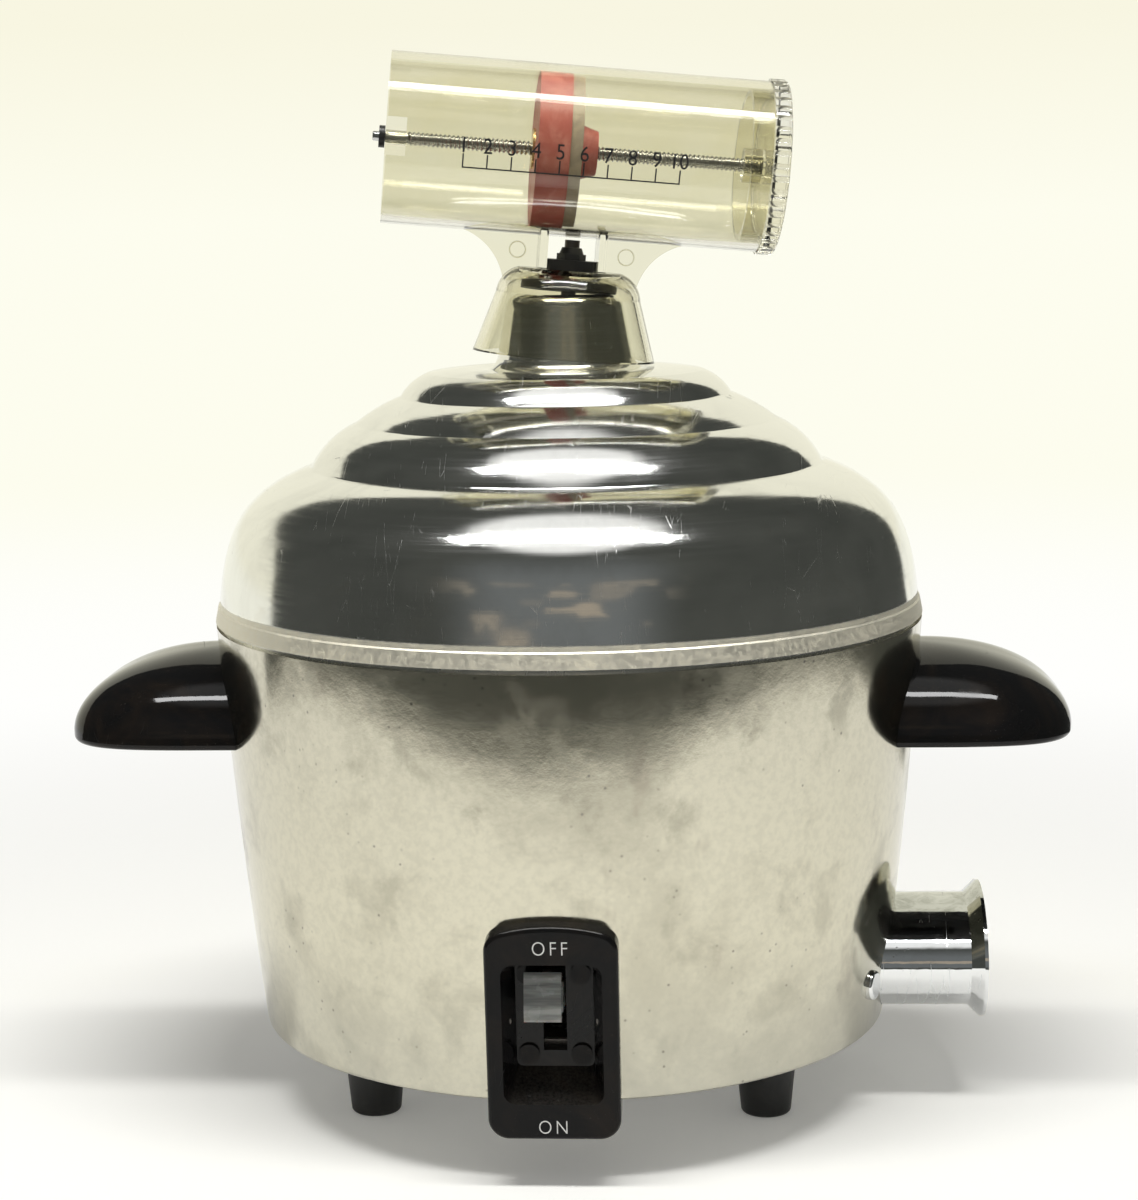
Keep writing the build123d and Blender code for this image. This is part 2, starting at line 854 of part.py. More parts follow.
def neck(shrink):
    """The guard's oval neck, from inside the body to its flare, drawn in by shrink."""
    length = guard_mouth_x - rim_t - flare_l - neck_root_x
    return extrude(oval(neck_half_w - shrink, neck_half_h - shrink, neck_root_x), length)


def flared_neck(shrink):
    rim_x = guard_mouth_x - rim_t
    small = oval(neck_half_w - shrink, neck_half_h - shrink, rim_x - flare_l)
    wide = oval(rim_half_w - shrink, rim_half_h - shrink, rim_x)
    return neck(shrink) + loft([small, wide], ruled=True) + extrude(wide, rim_t)


def flange_outline():
    low = plate_z + plate_t + plate_gap
    middle = (low + flange_top_z) / 2
    sheet = Pos(0, middle) * RectangleRounded(2 * flange_half_w, flange_top_z - low, flange_corner_r)
    return Plane(origin=(block_back_x, 0, 0), x_dir=(0, 1, 0), z_dir=(1, 0, 0)) * sheet


def plug_guard():
    """A drawn oval tube whose flange lies behind the body's wall."""
    flange = extrude(flange_outline(), body_top_r) & wall_core(wall_t)
    solid = flange + guard_frame * flared_neck(0) - wall_core(wall_t + flange_t)
    solid -= guard_frame * flared_neck(guard_t)
    for azimuth in guard_rivet_azimuths():
        r = wall_radius(guard_rivet_z)
        solid -= radial_pin(guard_rivet_r, azimuth, guard_rivet_z, r - 4 * wall_t, r)
    return solid


def guard_rivets():
    """Domed heads on the wall, and tails behind the guard's flange."""
    r = wall_radius(guard_rivet_z)
    inner = r - wall_t - flange_t
    rivets = []
    for azimuth in guard_rivet_azimuths():
        shank = radial_pin(guard_rivet_r, azimuth, guard_rivet_z, inner - 1, r + 0.5)
        head = tube(guard_rivet_head_r, 0, r - 1, r + guard_rivet_head_h)
        rim = [e for e in head.edges().filter_by(GeomType.CIRCLE) if e.center().Z > r]
        head = radial(fillet(rim, guard_rivet_head_h / 2), azimuth, guard_rivet_z) - wall_core(0)
        tail = radial_pin(2 * guard_rivet_r, azimuth, guard_rivet_z, inner - 1, inner + 1)
        rivets.append(shank + head + (tail & wall_core(wall_t + flange_t)))
    return group(rivets)


def terminal_block():
    low = plate_z + plate_t
    x = block_back_x + block_t / 2
    block = Pos(x, 0, low + block_h / 2) * Box(block_t, block_w, block_h)
    for y in (-pin_spacing / 2, pin_spacing / 2):
        block -= Pos(x, y, guard_z) * Rot(0, 90, 0) * Cylinder(terminal_shank_r, 2 * block_t)
    for y in (-block_screw_y, block_screw_y):
        block -= Pos(x, y, low) * Cylinder(block_screw_r, block_h / 2)
    return block


def terminal_pins():
    """Contact pins, each on a thinner shank that goes through the block to its nut."""
    low = block_back_x - terminal_nut_t - 1
    shank = tube(terminal_shank_r, 0, low, terminal_pin_start_x)
    pin = tube(terminal_pin_r, 0, terminal_pin_start_x, terminal_pin_end_x)
    tip = [e for e in pin.edges().filter_by(GeomType.CIRCLE) if e.center().Z > terminal_pin_start_x + 1]
    pin = shank + fillet(tip, terminal_pin_r / 2)
    return group(Pos(0, y, guard_z) * along_x(pin) for y in (-pin_spacing / 2, pin_spacing / 2))


def terminal_nuts():
    nut = hexagon(terminal_nut_flat, -terminal_nut_t, 0, terminal_shank_r)
    return group(Pos(block_back_x, y, guard_z) * along_x(nut) for y in (-pin_spacing / 2, pin_spacing / 2))


def block_screws():
    x = block_back_x + block_t / 2
    screws = []
    for y in (-block_screw_y, block_screw_y):
        head = tube(block_screw_head_r, 0, plate_z - block_screw_head_h, plate_z)
        shank = tube(block_screw_r, 0, plate_z, plate_z + plate_t + block_h / 4)
        screws.append(Pos(x, y, 0) * (head + shank))
    return group(screws)


# Lid
def swelled(start, end, swell):
    """An arc from one groove to the next that stands proud of their chord by swell."""
    dx, dz = end[0] - start[0], end[1] - start[1]
    length = sqrt(dx * dx + dz * dz)
    mid = ((start[0] + end[0]) / 2 + swell * dz / length, (start[1] + end[1]) / 2 - swell * dx / length)
    return ThreePointArc(start, mid, end)


def moved(point, inset):
    return (point[0] - inset, point[1] - inset)


def on_lid(inset, rise):
    """The (radius, height) of a place on the lid that is given from its rim and its bottom edge."""
    return (lid_rim_r - inset, lid_bottom_z + rise)


def lid_curve(inset):
    """The lid's skin from its band to the boss's hole, moved in and down by inset."""
    step = moved((lid_band_r - lid_step, lid_bottom_z + lid_band_h + lid_step), inset)
    grooves = [moved(on_lid(*p), inset) for p in tier_grooves]
    curve = Spline(step, *[moved(on_lid(*p), inset) for p in lid_shoulder], grooves[0])
    for start, end, swell in zip(grooves, grooves[1:], tier_swells):
        curve += swelled(start, end, swell)
    foot_point = moved((boss_foot_r, lid_bottom_z + boss_foot_rise), inset)
    side = moved((boss_side_r, lid_bottom_z + boss_side_rise), inset)
    shoulder = moved((boss_shoulder_r, lid_bottom_z + boss_shoulder_rise), inset)
    flat = moved((boss_flat_r, boss_top_z), inset)
    curve += swelled(grooves[-1], foot_point, top_swell)
    curve += swelled(foot_point, side, -0.4)
    curve += Line(side, shoulder)
    curve += swelled(shoulder, flat, 0.9)
    curve += Line(flat, (boss_hole_r, flat[1]))
    return curve, step, (boss_hole_r, flat[1])


def lid_shell():
    skin, step, hole_top = lid_curve(0)
    lining, lining_step, hole_low = lid_curve(lid_t)
    lip_r = pan_mouth_r - pan_t - lid_lip_gap
    floor_z = lid_bottom_z + lid_t
    band_top = (lid_band_r, lid_bottom_z + lid_band_h)
    band = chain((lip_r, lid_bottom_z), (lid_rim_r, lid_bottom_z), band_top, step)
    hole = Line(hole_top, hole_low)
    lip = chain(
        lining_step,
        (lining_step[0], floor_z),
        (lip_r - lid_lip_t, floor_z),
        (lip_r - lid_lip_t, lid_bottom_z - lid_lip_depth),
        (lip_r, lid_bottom_z - lid_lip_depth),
        (lip_r, lid_bottom_z),
    )
    solid = turned(band + skin + hole + lining + lip)
    solid = fillet(groove_edges(solid), groove_r)
    vent_r, vent_z = on_lid(steam_vent_inset, steam_vent_rise)
    vent = Pos(vent_r, 0, vent_z) * Rot(0, 90 - steam_vent_pitch, 0) * Cylinder(steam_vent_r, 8 * lid_t)
    for azimuth in steam_vent_azimuths:
        solid -= at_azimuth(vent, azimuth)
    return solid


def groove_edges(solid):
    edges = solid.edges().filter_by(GeomType.CIRCLE)
    found = []
    for r, z in [on_lid(*p) for p in tier_grooves]:
        found += [e for e in edges if abs(e.radius - r) < 0.01 and abs(e.center().Z - z) < 0.01]
    return found


# Knob group, built in its own frame
def lean(r):
    """How far a disc of radius r dips below its middle because the knob leans."""
    return r * tan(radians(knob_tilt))


gasket_low = lean(boss_flat_r + knob_shift) + gasket_gap
gasket_top = gasket_low + gasket_t
dome_top = gasket_top + dome_t
window_top = dome_top + window_h
tube_axis_w = window_top + tube_r


def boss_gasket():
    return knob_frame * tube(gasket_r, bolt_r + bolt_hole_gap, gasket_low, gasket_top)


def bolt_washer():
    top = -lid_t - lean(bolt_washer_r) - gasket_gap
    return knob_frame * tube(bolt_washer_r, bolt_r, top - bolt_washer_t, top)


def knob_bolt():
    head_top = -lid_t - lean(bolt_washer_r) - gasket_gap - bolt_washer_t
    head = hexagon(2 * bolt_head_r * cos(radians(30)), head_top - bolt_head_h, head_top, bolt_r / 2)
    shank = tube(bolt_r, 0, head_top - bolt_head_h, window_top - bolt_end_gap)
    return knob_frame * (head + shank)


def knob_washer_plate():
    plate = Pos(0, 0, dome_top + clamp_plate_t / 2) * Box(clamp_plate_l, clamp_plate_w, clamp_plate_t)
    plate = fillet(plate.edges().filter_by(Axis.Z), 1.0)
    return knob_frame * (plate - tube(bolt_r, 0, 0, 2 * window_top))


def knob_nut():
    low = dome_top + clamp_plate_t
    nut = hexagon(knob_nut_flat, low, low + knob_nut_h, bolt_r)
    high = low + knob_nut_h
    cone = turned(chain((0, low), (knob_nut_flat / sqrt(3), low), (bolt_r + 0.6, high), (0, high), (0, low)))
    return knob_frame * (nut & (cone + tube(knob_nut_flat, 0, low, low + knob_nut_h / 2)))


def skirt():
    top, low = dome_top, skirt_rim_w
    shoulder_w = dome_top - skirt_shoulder_drop
    outer = swelled((skirt_shoulder_r, shoulder_w), (dome_flat_r, top), 1.3)
    inner = swelled((skirt_shoulder_r - skirt_t, shoulder_w), (dome_flat_r - 0.4, top - dome_t), 0.8)
    side = Line((skirt_rim_r, low), outer @ 0)
    rim = Line((skirt_rim_r - skirt_t, low), (skirt_rim_r, low))
    inside = Line(inner @ 0, (skirt_rim_r - skirt_t, low))
    roof = chain(outer @ 1, (0, top), (0, top - dome_t), inner @ 1)
    return turned(side + outer + roof + inner + inside + rim)


def web():
    """A flat plate under the tube whose sides are hollowed by an arc."""
    foot_w = dome_top - skirt_shoulder_drop / 2
    top_w = tube_axis_w
    right = ThreePointArc(
        (web_top_half, window_top),
        (web_waist_half, foot_w + web_waist_rise),
        (web_foot_half - 2, foot_w - skirt_shoulder_drop / 2),
    )
    left = ThreePointArc(
        (-web_foot_half + 2, foot_w - skirt_shoulder_drop / 2),
        (-web_waist_half, foot_w + web_waist_rise),
        (-web_top_half, window_top),
    )
    top = chain(left @ 1, (-web_top_half, top_w), (web_top_half, top_w), right @ 0)
    face = make_face(right + Line(right @ 1, left @ 0) + left + top)
    plate = Plane.XZ * face
    return Pos(0, web_t / 2, 0) * extrude(plate, web_t)


def measure_body():
    length = tube_right - tube_left
    barrel = Pos(tube_left, 0, tube_axis_w) * along_x(extrude(Circle(tube_r), length))
    bore = Pos(tube_left - 1, 0, tube_axis_w) * along_x(extrude(Circle(tube_r - tube_wall), length + 2))
    frame = web() - Pos(0, 0, window_top) * Box(2 * window_half_w, 2 * web_t, 4 * window_h)
    for side in (-1, 1):
        x = side * (window_half_w + rib_t / 2)
        frame += Pos(x, 0, (gasket_low + tube_axis_w) / 2) * Box(
            rib_t, 2 * rib_half_d, tube_axis_w - gasket_low
        )
    inside_skirt = turned(
        chain(
            (0, skirt_rim_w - 1),
            (skirt_rim_r - skirt_t / 2, skirt_rim_w - 1),
            (skirt_shoulder_r - skirt_t / 2, dome_top - skirt_shoulder_drop),
            (dome_flat_r, dome_top - dome_t / 2),
            (0, dome_top - dome_t / 2),
            (0, skirt_rim_w - 1),
        )
    )
    bar = Pos(tube_left + bridge_bar_l / 2, 0, tube_axis_w) * Box(
        bridge_bar_l, 2 * tube_r - tube_wall, bridge_bar_h
    )
    bearing = Pos(tube_left - 1, 0, tube_axis_w) * along_x(
        extrude(Circle(spigot_r + run_fit), bridge_bar_l + 2)
    )
    solid = barrel + (frame - inside_skirt) + skirt() - bore + bar - bearing
    return knob_frame * (solid - tube(bolt_r + bolt_hole_gap, 0, 0, dome_top + 1))


def on_tube_axis(solid, x):
    """Puts a piece that was built upwards on the tube's axis, with its base at x."""
    return knob_frame * Pos(x, 0, tube_axis_w) * along_x(solid)


def adjust_screw():
    thread_start = tube_left + bridge_bar_l + end_play
    spigot_start = tube_left - spigot_end
    spigot = tube(spigot_r, 0, spigot_start, thread_start)
    thread = tube(thread_r, 0, thread_start, tube_right)
    return on_tube_axis(spigot + thread, 0)


def retaining_clip():
    ring = tube(clip_r, spigot_r, 0, clip_t)
    return on_tube_axis(ring, tube_left - end_play - clip_t)


def measure_cap():
    """A clear cap: a fluted rim outside the tube and a plug inside it that grips the rod."""
    start = tube_right + end_play
    disc = tube(cap_r, 0, start, start + cap_t)
    edges = [e for e in disc.edges().filter_by(GeomType.CIRCLE) if e.center().Z > start + 1]
    disc = fillet(edges, 1.2)
    flute = Pos(cap_r + flute_r - flute_depth, 0, start) * extrude(Circle(flute_r), cap_t + 1)
    disc -= [at_azimuth(flute, 360 * i / flute_count) for i in range(flute_count)]
    plug_r = tube_r - tube_wall - cap_plug_gap
    plug = tube(plug_r, plug_r - 1.8, tube_right - cap_plug_l, start)
    hub = tube(2.4 * thread_r, 0, tube_right - cap_plug_l, start)
    socket = tube(thread_r, 0, tube_right - cap_plug_l, tube_right)
    return on_tube_axis(disc + plug + hub - socket, 0)


def piston_bore(start, length):
    return tube(piston_nut_r, 0, start - 1, start + length + 1)


def piston_cup():
    """Red rubber: a disc that wipes the bore, with a thin lip, and a cone behind it."""
    r = tube_r - tube_wall - piston_gap
    end = piston_face + piston_cup_l
    tip = end + piston_plate_t + piston_hub_l
    disc = tube(r, 0, piston_face, end)
    cone = turned(
        chain(
            (0, end),
            (piston_hub_r, end),
            (piston_hub_r, end + piston_plate_t),
            (piston_hub_end_r, tip),
            (0, tip),
            (0, end),
        )
    )
    return on_tube_axis(disc + cone - tube(piston_nut_r, 0, piston_face - 1, tip + 1), 0)


def piston_plate():
    start = piston_face + piston_cup_l
    r = tube_r - tube_wall - piston_plate_gap
    return on_tube_axis(tube(r, piston_hub_r, start, start + piston_plate_t), 0)


def piston_nut():
    start = piston_face - 0.6
    flange = tube(1.6 * piston_nut_r, thread_r + run_fit, start, piston_face)
    sleeve = tube(piston_nut_r, thread_r + run_fit, piston_face, start + piston_nut_l)
    return on_tube_axis(flange + sleeve, 0)


# Egg tray
def egg_tray():
    corner_z = pan_floor_z + pan_corner_rise
    lean_in = (pan_mouth_r - pan_wall_bottom_r) / (body_top_z - corner_z)
    inside = pan_wall_bottom_r + (tray_z - corner_z) * lean_in - pan_t
    disc = tube(inside - tray_gap, post_r, tray_z, tray_z + tray_t)
    hole = Pos(egg_ring_r, 0, tray_z) * Cylinder(egg_hole_r, 4 * tray_t)
    for i in range(egg_count):
        disc -= at_azimuth(hole, 360 * (i + 0.5) / egg_count)
    return disc


def rack_legs():
    low = pan_floor_z + pan_t + seat_gap
    leg = Pos(pan_floor_r - pan_t - 2 * leg_r, 0, low) * extrude(Circle(leg_r), tray_z - low)
    return group(copies_around(leg, [360 * i / leg_count + 60 for i in range(leg_count)]))


def rack_post():
    return tube(post_r, 0, tray_z, post_top_z)


def rack_ring():
    ring = Pos(0, 0, post_top_z + ring_r) * Rot(90, 0, 0) * Torus(ring_r, ring_wire_r)
    return ring - rack_post()


# Internal wires, from nut to nut along short straight runs joined by arcs
def wire(*points):
    runs = [Vector(*b) - Vector(*a) for a, b in zip(points, points[1:])]
    radii = []
    for first, second in zip(runs, runs[1:]):
        turn = radians(first.get_angle(second))
        radii.append(0.45 * min(first.length, second.length) / tan(turn / 2))
    path = FilletPolyline(*points, radius=radii)
    section = Plane(origin=path @ 0, z_dir=path % 0) * Circle(wire_r)
    return sweep(section, path)


def pin_end(side):
    """The inner end of one terminal pin, and a point behind it."""
    x = block_back_x - terminal_nut_t - 1
    y = side * pin_spacing / 2
    return (x, y, guard_z), (x - block_t, y, guard_z)


def tab_end(azimuth, below):
    """The underside of an element tab, and a point below it."""
    r = element_r - 2 + element_tab_l - 1.5 * wire_r
    x, y = r * cos(radians(azimuth)), r * sin(radians(azimuth))
    return (x, y, element_z - below), (x, y, element_z)


def strip_end(side, run):
    """The inner end of one switch contact's lug, and a point in line with it."""
    reach = -recess_depth - pivot_behind_floor - arm_l
    places = [Pos(side * contact_x, contact_strip_y + contact_t / 2, z) for z in (reach, reach - run)]
    return [tuple((switch_face * place).position) for place in places]


def lead_line_thermostat():
    z = clamp_z - thermo_h - blade_step - blade_t
    x, y = -thermo_y, blade_l / 2 - thermo_button_r - 1
    return wire(*pin_end(-1), (x, y, z - block_t), (x, y, z))


def lead_line_element():
    return wire(*pin_end(1), *tab_end(element_tab_azimuths[0], block_t + thermo_h))


def lead_thermostat_switch():
    z = clamp_z - thermo_h - blade_t / 2
    x, y = -thermo_y, -blade_l / 2 - 2 * lug_w
    return wire(*strip_end(-1, blade_w), (x, y - blade_w, z), (x, y, z))


def lead_switch_element():
    return wire(*strip_end(1, thermo_h), *tab_end(element_tab_azimuths[1], blade_w))


nodes = {
    "body_shell": body_shell,
    "water_pan": water_pan,
    "mica_sheet": mica_sheet,
    "heating_element": heating_element,
    "element_clamp_plate": clamp_plate,
    "centre_stud": centre_stud,
    "stud_nuts": stud_nuts,
    "thermostat_base": thermostat_base,
    "bimetal_blade": bimetal_blade,
    "thermostat_spacer": thermostat_spacer,
    "contact_blade": contact_blade,
    "thermostat_rivet": thermostat_rivet,
    "bottom_plate": bottom_plate,
    "foot_front_left": lambda: foot(foot_azimuths[0]),
    "foot_front_right": lambda: foot(foot_azimuths[1]),
    "foot_rear": lambda: foot(foot_azimuths[2]),
    "foot_screws": foot_screws,
    "foot_nuts": foot_nuts,
    "handle_right": lambda: handle(0),
    "handle_left": lambda: handle(180),
    "handle_screws": handle_screws,
    "switch_plate": switch_plate,
    "switch_base": switch_base,
    "switch_rivets": switch_rivets,
    "switch_screws": switch_screws,
    "lever_bracket": lever_bracket,
    "lever_pin": lever_pin,
    "friction_washer": friction_washer,
    "switch_lever": switch_lever,
    "contact_bridge": contact_bridge,
    "switch_contacts": switch_contacts,
    "plug_guard": plug_guard,
    "guard_rivets": guard_rivets,
    "terminal_block": terminal_block,
    "terminal_pins": terminal_pins,
    "terminal_nuts": terminal_nuts,
    "block_screws": block_screws,
    "lead_line_thermostat": lead_line_thermostat,
    "lead_line_element": lead_line_element,
    "lead_thermostat_switch": lead_thermostat_switch,
    "lead_switch_element": lead_switch_element,
    "lid_shell": lid_shell,
    "boss_gasket": boss_gasket,
    "bolt_washer": bolt_washer,
    "knob_bolt": knob_bolt,
    "knob_washer_plate": knob_washer_plate,
    "knob_nut": knob_nut,
    "measure_body": measure_body,
    "adjust_screw": adjust_screw,
    "retaining_clip": retaining_clip,
    "measure_cap": measure_cap,
    "piston_cup": piston_cup,
    "piston_plate": piston_plate,
    "piston_nut": piston_nut,
    "egg_tray": egg_tray,
    "rack_legs": rack_legs,
    "rack_post": rack_post,
    "rack_ring": rack_ring,
}

os.makedirs("parts", exist_ok=True)
for name, build in nodes.items():
    export_step(build(), f"parts/{name}.step")
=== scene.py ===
import json
from math import cos, radians, sin

import bmesh
import bpy
import numpy as np
from bpy.props import FloatProperty, FloatVectorProperty, PointerProperty
from mathutils import Matrix, Vector


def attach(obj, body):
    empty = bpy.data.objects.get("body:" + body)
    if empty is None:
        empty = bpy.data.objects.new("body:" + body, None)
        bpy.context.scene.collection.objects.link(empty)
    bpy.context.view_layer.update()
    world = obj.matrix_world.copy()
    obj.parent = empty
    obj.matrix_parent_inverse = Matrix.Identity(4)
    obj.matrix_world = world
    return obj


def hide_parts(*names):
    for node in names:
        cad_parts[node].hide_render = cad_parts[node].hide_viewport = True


bl_info = {
    "name": "Electric egg cooker",
    "version": (1, 0, 0),
    "blender": (4, 5, 0),
    "location": "3D View > Sidebar > Egg cooker",
    "description": "Dresses the egg cooker's frame in its metals and plastics, and sets up its studio",
    "category": "Add Mesh",
}

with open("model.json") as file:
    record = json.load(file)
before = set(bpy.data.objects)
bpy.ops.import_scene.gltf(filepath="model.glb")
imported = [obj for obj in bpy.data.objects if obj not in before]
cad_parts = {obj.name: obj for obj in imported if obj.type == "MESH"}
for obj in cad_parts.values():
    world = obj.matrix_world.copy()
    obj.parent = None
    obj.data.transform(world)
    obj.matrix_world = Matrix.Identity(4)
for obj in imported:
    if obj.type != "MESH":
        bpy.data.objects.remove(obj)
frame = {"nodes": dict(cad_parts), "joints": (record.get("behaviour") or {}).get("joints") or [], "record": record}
NODES = frame["nodes"]
SLOTS = {part["node"]: part["material_slot"] for part in frame["record"]["subparts"]}
JOINTS = {joint["name"]: joint for joint in frame["joints"]}
MM = 0.001


# Sizes and colours that a user may change
def length(name, description, default):
    return FloatProperty(name=name, description=description, default=default, unit="LENGTH", precision=5)


def colour(name, description, default):
    return FloatVectorProperty(
        name=name, description=description, default=default, subtype="COLOR", min=0.0, max=1.0
    )


class CookerSizes(bpy.types.PropertyGroup):
    thread_pitch: length("Thread pitch", "Advance of the measure's rod in one turn", 1.10 * MM)
    thread_crest: length("Thread crest", "Radius over the rod's thread", 1.78 * MM)
    thread_depth: length("Thread depth", "Height of the rod's thread", 0.42 * MM)
    spigot: length("Spigot", "Radius of the rod's plain end", 1.2 * MM)
    scale_start: length("Scale start", "Place of mark 1 along the tube", -29.35 * MM)
    scale_step: length("Scale step", "From one mark of the scale to the next", 5.88 * MM)
    digit: length("Digit height", "Height of the scale's figures", 3.7 * MM)
    tick: length("Tick length", "Height of the scale's ticks", 3.2 * MM)
    line: length("Line width", "Width of the scale's printed lines", 0.36 * MM)
    letter: length("Letter height", "Height of the switch's words", 3.3 * MM)


class CookerColours(bpy.types.PropertyGroup):
    aluminium: colour("Aluminium", "Polished lid", (0.80, 0.80, 0.78))
    patina: colour("Patina", "Dull clouds on the body", (0.43, 0.405, 0.32))
    steel: colour("Steel", "Plated hardware", (0.60, 0.60, 0.59))
    phenolic: colour("Phenolic", "Handles and switch plate", (0.006, 0.006, 0.0062))
    rubber: colour("Rubber", "Feet and gasket", (0.014, 0.014, 0.0135))
    lever: colour("Lever", "Switch lever", (0.20, 0.205, 0.195))
    clear: colour("Clear plastic", "Measure, skirt and cap", (0.865, 0.85, 0.75))
    piston: colour("Piston", "Red rubber piston", (0.33, 0.075, 0.065))
    backing: colour("Backing", "Plate behind the piston", (0.34, 0.29, 0.23))
    ink: colour("Ink", "Printed scale", (0.012, 0.012, 0.014))
    paint: colour("Paint", "Filling of the switch's words", (0.74, 0.74, 0.72))


class CookerStudio(bpy.types.PropertyGroup):
    ambient: FloatProperty(name="Ambient", description="Even light on dull surfaces", default=0.32)
    softbox: FloatProperty(name="Softbox", description="Power of the lamp overhead", default=11.0)
    softbox_width: length("Softbox width", "Size of the lamp from left to right", 0.98)
    softbox_depth: length("Softbox depth", "Size of the lamp from front to back", 0.14)
    lens: FloatProperty(name="Lens", description="Focal length", default=84.607, unit="CAMERA")


# Surfaces
def mesh_piece(name, points, faces, body, slot, finish, corner=None):
    """A piece from an array of points and an array of faces with equal corners, shaded smooth, or with
    edges left sharp where faces meet at more than corner degrees."""
    points, faces = np.asarray(points, float), np.asarray(faces, np.int32)
    mesh = bpy.data.meshes.new(name)
    mesh.vertices.add(len(points))
    mesh.vertices.foreach_set("co", points.astype(np.float32).ravel())
    mesh.loops.add(faces.size)
    mesh.loops.foreach_set("vertex_index", faces.ravel())
    mesh.polygons.add(len(faces))
    mesh.polygons.foreach_set("loop_start", np.arange(0, faces.size, faces.shape[1], dtype=np.int32))
    mesh.update(calc_edges=True)
    tidy = bmesh.new()
    tidy.from_mesh(mesh)
    bmesh.ops.remove_doubles(tidy, verts=tidy.verts, dist=1e-7)
    tidy.to_mesh(mesh)
    tidy.free()
    mesh.shade_smooth()
    if corner is not None:
        mesh.set_sharp_from_angle(angle=radians(corner))
    mesh.materials.append(finish)
    piece = bpy.data.objects.new(name, mesh)
    bpy.context.scene.collection.objects.link(piece)
    if body:
        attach(piece, body)
    return piece


def grid_faces(rows, columns, closed=False, looped=False):
    """Four corners for each cell of a grid of rows by columns. closed joins the last column to the first,
    and looped the last row to the first."""
    r = np.arange(rows if looped else rows - 1)[:, None]
    c = np.arange(columns if closed else columns - 1)[None, :]
    here, above, d = r * columns, (r + 1) % rows * columns, (c + 1) % columns
    return np.stack([here + c, here + d, above + d, above + c], -1).reshape(-1, 4)


def joined(parts):
    """Several sets of points and faces as one set."""
    points, faces = zip(*parts)
    starts = np.cumsum([0, *(len(p) for p in points[:-1])])
    return np.concatenate(points), np.concatenate([f + start for f, start in zip(faces, starts)])


def letters(text, height, thin=0.0, spacing=1.0):
    """The faces of a printed word, flat, centred across and standing on y = 0, scaled to its height; thin
    draws its strokes in, and spacing sets its letters apart. Long edges are halved, so that a word
    follows the round tube."""
    long_edge = 0.12
    curve = bpy.data.curves.new("word", "FONT")
    curve.body, curve.offset, curve.space_character = text, -thin, spacing
    curve.resolution_u = 6
    word = bpy.data.objects.new("word", curve)
    bpy.context.scene.collection.objects.link(word)
    bpy.context.view_layer.update()
    mesh = bpy.data.meshes.new_from_object(word.evaluated_get(bpy.context.evaluated_depsgraph_get()))
    shape = bmesh.new()
    shape.from_mesh(mesh)
    bmesh.ops.triangulate(shape, faces=shape.faces)
    edges = [edge for edge in shape.edges if edge.calc_length() > long_edge]
    bmesh.ops.subdivide_edges(shape, edges=edges, cuts=1, use_grid_fill=False)
    bmesh.ops.triangulate(shape, faces=shape.faces)
    points = np.array([v.co for v in shape.verts], float)
    faces = np.array([[v.index for v in f.verts] for f in shape.faces])
    shape.free()
    bpy.data.objects.remove(word)
    bpy.data.meshes.remove(mesh)
    bpy.data.curves.remove(curve)
    points *= height / np.ptp(points[:, 1])
    points[:, 0] -= (points[:, 0].min() + points[:, 0].max()) / 2
    points[:, 1] -= points[:, 1].min()
    return points[:, :2], faces


# The measure's own frame: its axis, the way its back faces, and up out of the boss
AXIS = np.array(JOINTS["measure_adjust"]["axis"])
BACK = np.cross([0, 0, 1], AXIS) / np.linalg.norm(np.cross([0, 0, 1], AXIS))
UP = np.cross(AXIS, BACK)
MIDDLE = np.array(JOINTS["measure_adjust"]["pos_m"])
TUBE_R = 21.3 * MM


def on_measure(along, back, up):
    """A point of the measure's frame, in the row's frame."""
    return MIDDLE + along[..., None] * AXIS + back[..., None] * BACK + up[..., None] * UP


def on_tube(along, around, proud):
    """A point on the tube's front: around is the arc up from the level of the axis."""
    turn = around / TUBE_R
    return on_measure(along, -(TUBE_R + proud) * np.cos(turn), (TUBE_R + proud) * np.sin(turn))


# From where to where a finish changes: heights, but for the guard's mouth, which is along X
LID_BAND = (0.1291, 0.1297)
BODY_FOOT = (0.012, 0.058)
GUARD_TOP = (0.0425, 0.0440)
GUARD_MOUTH = (0.099, 0.106)


# Finishes
def rgba(value):
    """A colour of three numbers with its alpha; anything else as it is."""
    plain = isinstance(value, bpy.types.NodeSocket) or not hasattr(value, "__len__") or len(value) != 3
    return value if plain else (*value, 1.0)


